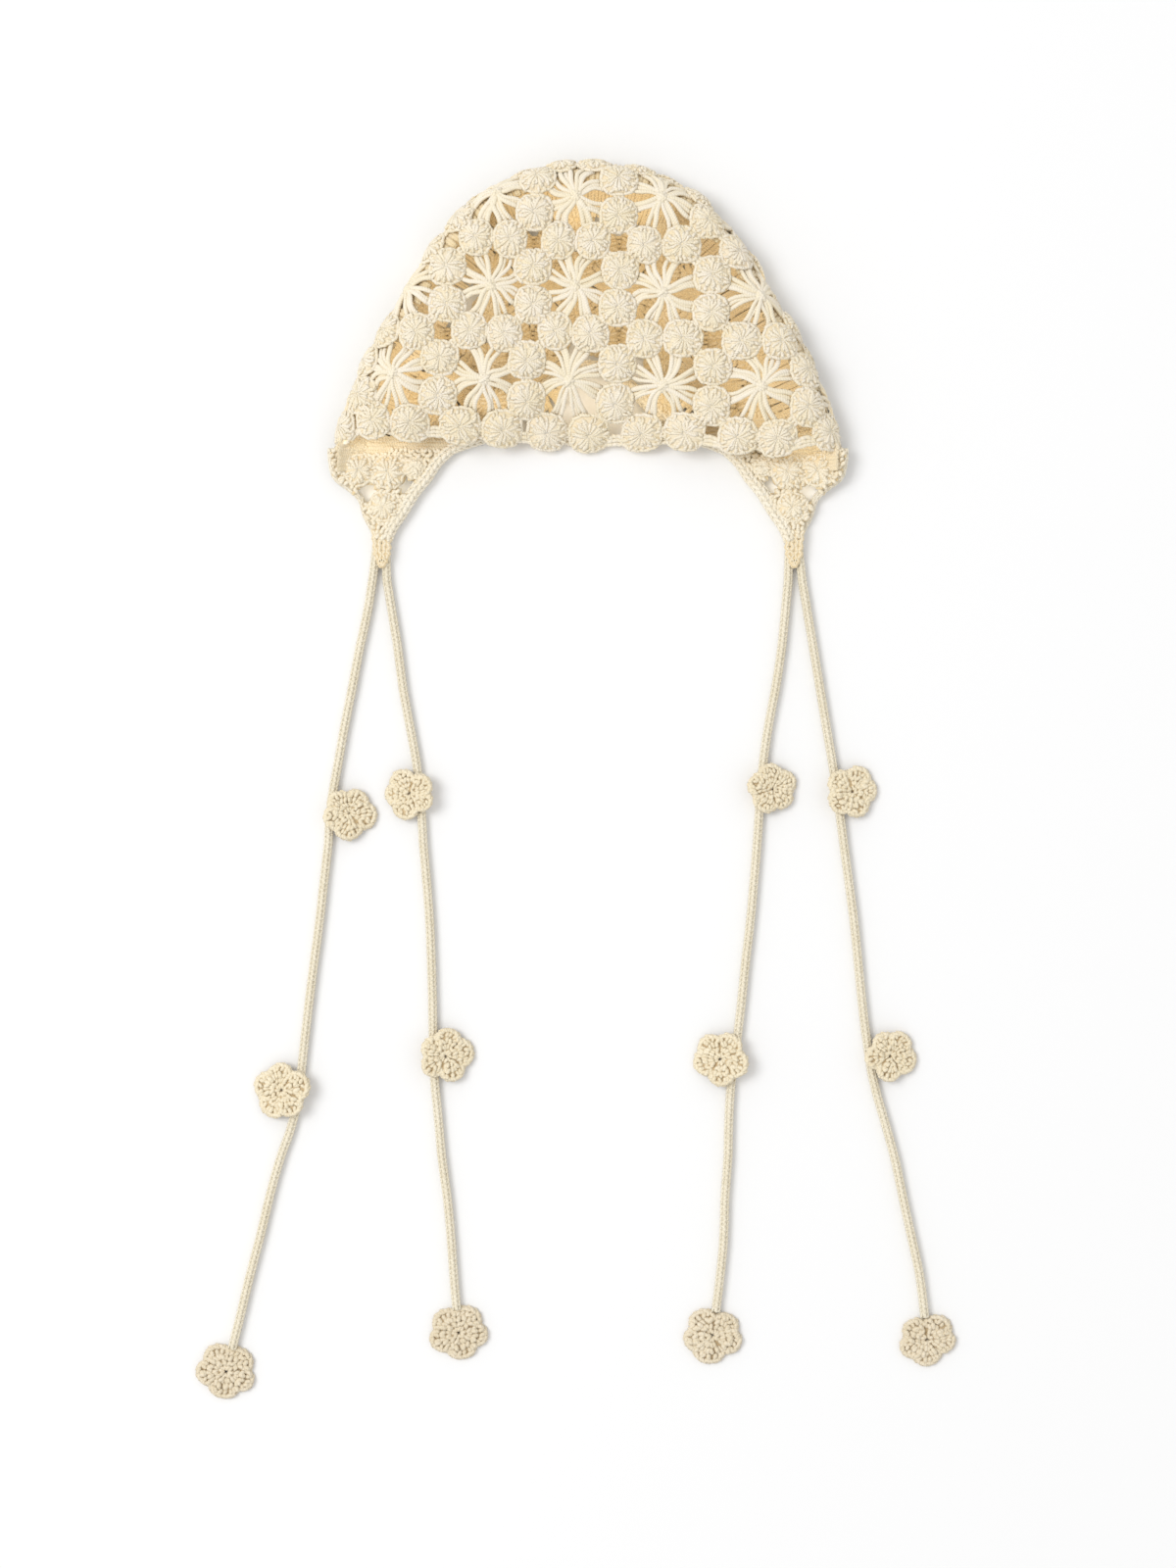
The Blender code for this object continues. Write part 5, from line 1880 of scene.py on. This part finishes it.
        # Painted shade: the ground under the stitches takes the ochre shade colour.
        yarn.strands(np.array(ground), ups, wide, high, 6, 0.55, 0.0)
        wide = np.array(self.taper) * MM
        for face, lanes in paths.items():
            points = np.array(lanes)
            ups = np.broadcast_to(np.array([0.0, 0.0, face]), points.shape)
            # Painted shade on the stitches' undersides.
            yarn.strands(points, ups, wide, wide * 0.8, 5, 0.02, 0.7)


@dataclass
class Edging:
    """The bands: one round the opening, and one down each flap's outer side."""

    shape: HatShape
    opening: float = 7.4 * MM
    flap: float = 4.0 * MM
    gap: float = 0.2 * MM
    outwards: float = 0.9 * MM
    stitch: float = 3.4 * MM
    rows: int = 8

    def build(self) -> list[bpy.types.Object]:
        """Builds the three bands.

        Returns:
            The opening's band, the left flap's and the right flap's.
        """
        finish = EDGING_YARN.material()
        middle = np.full(len(self.shape.opening), self.opening / 2 + self.gap)
        plan = self.shape.opening + left_of(runs_of(self.shape.opening)) * self.outwards
        line = self.shape.to_row(np.column_stack([plan, middle]))
        pieces = [self._band("opening_edging_band", line, self.opening, finish)]
        plan = np.vstack([self.shape.flap_side(2)[:1], self.shape.flap_outer])
        low = self.flap / 2 + self.gap
        rise = (self.shape.crease_height - low - self.flap / 2) * self.shape.flap_fade(plan[:, 1])
        for name, sign in (("flap_edging_left_band", 1), ("flap_edging_right_band", -1)):
            line = self.shape.to_row(np.column_stack([sign * plan[:, 0], plan[:, 1], low + rise]))
            pieces.append(self._band(name, line, self.flap, finish))
        return pieces

    def _band(
        self, name: str, line: np.ndarray, diameter: float, finish: bpy.types.Material
    ) -> bpy.types.Object:
        """Builds one band along a line.

        Args:
            name: The piece's name.
            line: Its middle, one row a point, in the row frame.
            diameter: Its thickness.
            finish: Its material.

        Returns:
            The piece, in the scene.
        """
        yarn = YarnMesh(seed=len(name))
        CordStitch(diameter, pitch=self.stitch, rows=self.rows).add(yarn, line)
        return yarn.finish(name, finish)


@dataclass
class Flower:
    """A five-petal flower: a fan of tall stitches in each petal, with a rope of links round it."""

    name: str
    centre: np.ndarray
    radius: float
    turn: float
    towards: np.ndarray
    slope: float
    finish: bpy.types.Material
    thickness: float = 4.2 * MM
    petals: int = 5
    lobe: float = 0.50
    # The fans' rows: share of the radius, stitches, half turn, length, half width, and share of the height.
    rows: tuple[Row, ...] = (
        (0.17, 2, 0.30, 3.2, 0.95, 0.66),
        (0.37, 4, 0.42, 3.2, 1.05, 0.80),
        (0.58, 5, 0.46, 3.4, 1.15, 0.86),
        (0.79, 6, 0.52, 3.0, 1.10, 0.76),
    )
    links: int = 8
    # The rope: how far round the petal it goes in radians, and each row's height, reach and shift as shares.
    rope_turn: float = 3.9
    rope_rows: tuple[Row, ...] = ((0.62, 0.88, 0.0), (0.26, 0.93, 0.5))
    rope_half: float = 1.15 * MM
    squash: float = 1.0
    seed: int = 3

    def _lay(self, local: np.ndarray) -> tuple[np.ndarray, np.ndarray]:
        """Places points given in the flower's own plan, with their height over its underside.

        Args:
            local: The points, one row each.

        Returns:
            The points in the row frame, and the upward direction at each.
        """
        reach = local[:, :2] @ self.towards
        under = np.maximum(0.0, self.slope * (reach + self.radius))
        plan = local[:, :2] - np.outer(reach * (1 - self.squash), self.towards)
        spots = np.column_stack([plan + self.centre, under + local[:, 2]])
        return spots, np.tile(np.array([0.0, 0.0, 1.0]), (len(local), 1))

    def build(self) -> bpy.types.Object:
        """Builds the flower.

        Returns:
            The piece.
        """
        yarn = YarnMesh(seed=self.seed)
        chance = np.random.default_rng(self.seed)
        dome = Dome(18, 6)
        lobe = self.radius * self.lobe
        flat = np.hypot(dome.spots[:, 0], dome.spots[:, 1])
        for k in range(self.petals):
            angle = self.turn + math.tau * (k + 0.5) / self.petals + chance.uniform(-0.14, 0.14)
            size = 1 + chance.uniform(-0.12, 0.08)
            high = self.thickness * (0.88 + 0.10 * (k % 2)) * (1 + chance.uniform(-0.05, 0.05))
            out = np.array([math.cos(angle), math.sin(angle)])
            beside = left_of(out)
            wide = lobe * size * 0.94
            body = dome.spots * (wide, wide, high * 0.32)
            plan = np.outer(body[:, 0] + lobe, out) + np.outer(body[:, 1], beside)
            spots = self._lay(np.column_stack([plan, body[:, 2] + high * 0.36]))[0]
            # Painted shade: the petal's dome under the stitches takes the ochre shade colour, more towards
            # its edge.
            yarn.solids(spots[None], dome, dome.spots[:, :2] * lobe, 0.60 + 0.30 * flat**2)
            self._fan(yarn, chance, angle, high)
            self._rope(yarn, chance, np.array([out, beside]), lobe * size, lobe, high)
        return yarn.finish(f"{self.name}_petals", self.finish)

    def _fan(self, yarn: YarnMesh, chance: np.random.Generator, angle: float, high: float) -> None:
        """Adds a petal's stitches, in rows that spread from the flower's middle.

        Args:
            yarn: The mesh they join.
            chance: What makes them differ.
            angle: The petal's direction.
            high: The petal's height.
        """
        for share, count, half_turn, length, half, level in self.rows:
            lean = np.linspace(-1.0, 1.0, count) * half_turn + chance.uniform(-0.07, 0.07, count)
            out = self.radius * (share - 0.30 * lean**2 * share) * (1 + chance.uniform(-0.04, 0.04, count))
            lift = high * level + chance.uniform(-0.55, 0.40, count) * MM
            places = polar(angle + lean, out, lift)
            runs = angle + lean * 1.15 + chance.uniform(-0.8, 0.8, count)
            scale = self.radius / (14 * MM) * chance.uniform(0.88, 1.12, count) * MM
            # Painted shade: the stitches' undersides take the full shade colour.
            knobs(yarn, self._lay, places, runs, length * scale, half * scale, 0.0, 1.0, 0.7 * MM, 0.95)

    def _rope(
        self,
        yarn: YarnMesh,
        chance: np.random.Generator,
        axes: np.ndarray,
        lobe: float,
        middle: float,
        high: float,
    ) -> None:
        """Adds the links round a petal's free edge, a row over a row.

        Args:
            yarn: The mesh they join.
            chance: What makes them differ.
            axes: The plan directions along the petal and across it.
            lobe: The petal's radius.
            middle: The distance from the flower's middle to the petal's.
            high: The petal's height.
        """
        step = self.rope_turn / self.links
        for level, grow, shift in self.rope_rows:
            angle = (np.arange(self.links) - (self.links - 1) / 2 + shift) * step
            out = lobe * grow + chance.uniform(-0.3, 0.3, self.links) * MM
            plan = np.outer(np.cos(angle) * out + middle, axes[0]) + np.outer(np.sin(angle) * out, axes[1])
            lift = np.maximum(high * level + chance.uniform(-0.15, 0.15, self.links) * MM, self.rope_half)
            runs = math.atan2(axes[0][1], axes[0][0]) + angle + math.pi / 2 - 0.25
            places = np.column_stack([plan, lift])
            # Painted shade on the links' undersides.
            knobs(yarn, self._lay, places, runs, lobe * step * 1.4, self.rope_half, 0.02, 0.8)


# Each side flower: tie, place on it, millimetres across and down from the flap's tip, radius, and turn in
# degrees.
SIDE_FLOWERS = (
    ("left_outer", "upper", -16.5, 137.0, 12.8, 20),
    ("left_outer", "middle", -51.0, 278.0, 14.0, 55),
    ("left_inner", "upper", 14.0, 127.0, 12.6, 5),
    ("left_inner", "middle", 32.5, 260.5, 13.6, 40),
    ("right_inner", "upper", -11.0, 124.5, 12.2, 60),
    ("right_inner", "middle", -37.5, 262.0, 13.6, 15),
    ("right_outer", "upper", 29.5, 126.0, 12.6, 35),
    ("right_outer", "middle", 49.0, 260.5, 13.0, 10),
)
END_RADIUS = {"left_outer": 15.2, "left_inner": 15.0, "right_inner": 15.6, "right_outer": 14.4}


@dataclass
class Tie:
    """One tie: a crocheted cord along its route, with two flowers on its side and one at its end."""

    shape: HatShape
    name: str
    diameter: float = 4.8 * MM
    gap: float = 0.2 * MM
    fit: float = 0.3 * MM
    step: float = 11.5 * MM
    tuck: float = 4.5 * MM
    end_squash: float = 0.88
    end_reach: float = 0.78
    end_lap: float = 0.3

    @property
    def sign(self) -> int:
        """Which flap it hangs from: -1 for the left one and 1 for the right one."""
        return -1 if self.name.startswith("left") else 1

    def line(self) -> np.ndarray:
        """The cord's middle in the row frame.

        Returns:
            Its points, one row each, from the flap to the end flower.
        """
        tip = self.shape.flap_tip(self.sign)
        route = TIE_ROUTES[self.name]
        start = route[:1] * (0.8, 1.0) - (0.0, self.tuck / MM)
        plan = tip + np.vstack([start, route]) * (MM, -MM)
        smooth = smooth_line(plan, self.step)
        high = np.full(len(smooth), self.diameter / 2 + self.gap)
        return self.shape.to_row(np.column_stack([smooth, high]))

    def build(self) -> tuple[bpy.types.Object, list[bpy.types.Object]]:
        """Returns:
            The cord and its three flowers.
        """
        line = self.line()
        yarn = YarnMesh(seed=len(self.name))
        CordStitch(self.diameter).add(yarn, line)
        cord = yarn.finish(f"tie_{self.name}_cord", TIE_YARN.material())
        flowers = [flower.build() for flower in self._flowers(line)]
        return cord, flowers

    def _flowers(self, line: np.ndarray) -> list[Flower]:
        """The flowers' places: those on the side lean on the cord, and the last one lies at its end.

        Args:
            line: The cord's middle in the row frame.

        Returns:
            The flowers, from the flap down.
        """
        tip = self.shape.to_row(self.shape.flap_tip(self.sign)[None])[0]
        plan = line[:, :2]
        finish = FLOWER_YARN.material()
        flowers = []
        for tie, place, across, down, size, degrees in SIDE_FLOWERS:
            if tie != self.name:
                continue
            centre = tip + np.array([across, -down]) * MM
            radius = size * MM
            foot = along(plan, nearest(plan, centre[None])[1])[0]
            towards = unit(foot - centre)
            beside = spaced_line(plan, self.diameter / 4)
            under = beside[np.linalg.norm(beside - centre, axis=1) < radius + self.diameter]
            reach = ((under - centre) @ towards).min()
            slope = (self.diameter + 2 * self.gap + self.fit) / (reach + radius)
            name, turn = f"flower_{self.name}_{place}", math.radians(degrees)
            flowers.append(Flower(name, centre, radius, turn, towards, slope, finish, seed=round(down)))
        finish = END_YARN.material()
        radius = END_RADIUS[self.name] * MM
        run = unit(plan[-1] - plan[-2])
        centre = plan[-1] + run * (radius * self.end_reach * self.end_squash + self.diameter * self.end_lap)
        turn = math.atan2(-run[1], -run[0])
        name, seed = f"flower_{self.name}_end", round(radius / MM)
        end = Flower(name, centre, radius, turn, run, 0.0, finish, squash=self.end_squash, seed=seed)
        return [*flowers, end]


# ---------------------------------------------------------------------------------------------- studio


@dataclass
class Studio:
    """The pale floor, the soft light from the upper left and the camera straight above."""

    field_height: float = 0.800
    middle_y: float = -0.2205
    distance: float = 2.0
    floor_size: float = 6.0
    key_energy: float = 89.0
    key_size: float = 2.1
    key_aim: Row = (0.0, -0.15, 0.0)
    key_way: Row = (-2.40, 0.70, 3.70)
    world_strength: float = 0.795
    sensor: float = 32.0
    glow_colour: str = "#FFF3DA"
    # The light that soaks through the yarn: name, middle, width and depth in metres, and energy.
    glows: tuple[tuple[str, float, float, float, float, float, float], ...] = (
        ("yarn_glow_crown", 0.0, 0.028, 0.0135, 0.190, 0.084, 0.0165),
        ("yarn_glow_arch", 0.0, -0.027, 0.0090, 0.120, 0.022, 0.0040),
        ("yarn_glow_left", -0.090, -0.015, 0.0110, 0.050, 0.050, 0.0038),
        ("yarn_glow_right", 0.090, -0.015, 0.0110, 0.050, 0.050, 0.0031),
        ("yarn_glow_top", 0.0, 0.076, 0.0115, 0.090, 0.026, 0.0034),
        ("yarn_glow_floor", 0.0, 0.022, 0.0030, 0.186, 0.082, 0.0032),
        ("yarn_glow_pocket_left", -0.107, -0.047, 0.0130, 0.034, 0.007, 0.0004),
        ("yarn_glow_pocket_right", 0.111, -0.048, 0.0130, 0.030, 0.007, 0.0006),
        ("yarn_glow_flap_left", -0.103, -0.070, 0.0030, 0.026, 0.018, 0.0007),
        ("yarn_glow_flap_right", 0.103, -0.070, 0.0030, 0.026, 0.018, 0.0007),
    )

    def camera(self) -> bpy.types.Object:
        """Makes the camera.

        Returns:
            The camera, in the scene.
        """
        data = bpy.data.cameras.new("camera")
        data.sensor_fit = "VERTICAL"
        data.sensor_height = self.sensor
        data.lens = data.sensor_height * self.distance / self.field_height
        camera = link("camera", data)
        camera.location = (0.0, self.middle_y, self.distance)
        bpy.context.scene.camera = camera
        return camera

    def floor(self) -> bpy.types.Object:
        """Makes the floor.

        Returns:
            The floor, in the scene.
        """
        mesh = bmesh.new()
        bmesh.ops.create_grid(mesh, x_segments=1, y_segments=1, size=self.floor_size / 2)
        data = bpy.data.meshes.new("floor")
        mesh.to_mesh(data)
        mesh.free()
        data.materials.append(FloorPaper().material())
        floor = link("floor", data)
        return floor

    def light(self) -> None:
        """Makes the key light, the light that soaks through the yarn, and the even light of the room."""
        data = bpy.data.lights.new("key", "AREA")
        data.energy = self.key_energy
        data.size = self.key_size
        key = link("key", data)
        aim = np.array(self.key_aim)
        place = aim + np.array(self.key_way)
        key.location = tuple(place)
        key.rotation_mode = "QUATERNION"
        key.rotation_quaternion = Vector(aim - place).to_track_quat("-Z", "Y")
        for name, x, y, z, wide, deep, energy in self.glows:
            glow = bpy.data.lights.new(name, "AREA")
            glow.shape = "ELLIPSE"
            glow.size, glow.size_y = wide, deep
            glow.energy = energy
            glow.color = linear(self.glow_colour)[:3]
            inside = link(name, glow)
            inside.location = (x, y, z)
            inside.visible_camera = False
        world = bpy.data.worlds.new("room")
        world.use_nodes = True
        back = world.node_tree.nodes["Background"]
        back.inputs["Color"].default_value = linear("#FFFFFF")
        back.inputs["Strength"].default_value = self.world_strength
        bpy.context.scene.world = world
        bpy.context.scene.view_settings.view_transform = "Standard"


def dress(piece: bpy.types.Object, slot: str, *nodes: str) -> None:
    """Rides a piece on the body, and lets it stand for its solids.

    Args:
        piece: The piece.
        slot: Not used.
        nodes: The solids that it stands for.
    """
    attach(piece, BODY)
    if nodes:
        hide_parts(*nodes)


def main() -> None:
    """Builds the camera, the ties, the flaps, the edging and the crown, in that order."""
    logging.basicConfig(level=logging.INFO, format="%(message)s")
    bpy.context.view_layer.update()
    studio = Studio()
    studio.camera()
    shape = HatShape()
    for name in TIE_ROUTES:
        cord, flowers = Tie(shape, name).build()
        dress(cord, "tie_cotton", f"tie_{name}")
        for flower in flowers:
            dress(flower, "flower_cotton", flower.name.removesuffix("_petals"))
    for name, sign in (("ear_flap_left", -1), ("ear_flap_right", 1)):
        dress(EarFlap(shape, name, sign).build(), "flap_cotton", name)
    for piece in Edging(shape).build():
        dress(piece, "edging_cotton", piece.name.removesuffix("_band"))
    for piece in Crown(shape).build():
        dress(piece, "crown_cotton", "crown")
    studio.floor()
    studio.light()


if __name__ == "__main__":
    main()
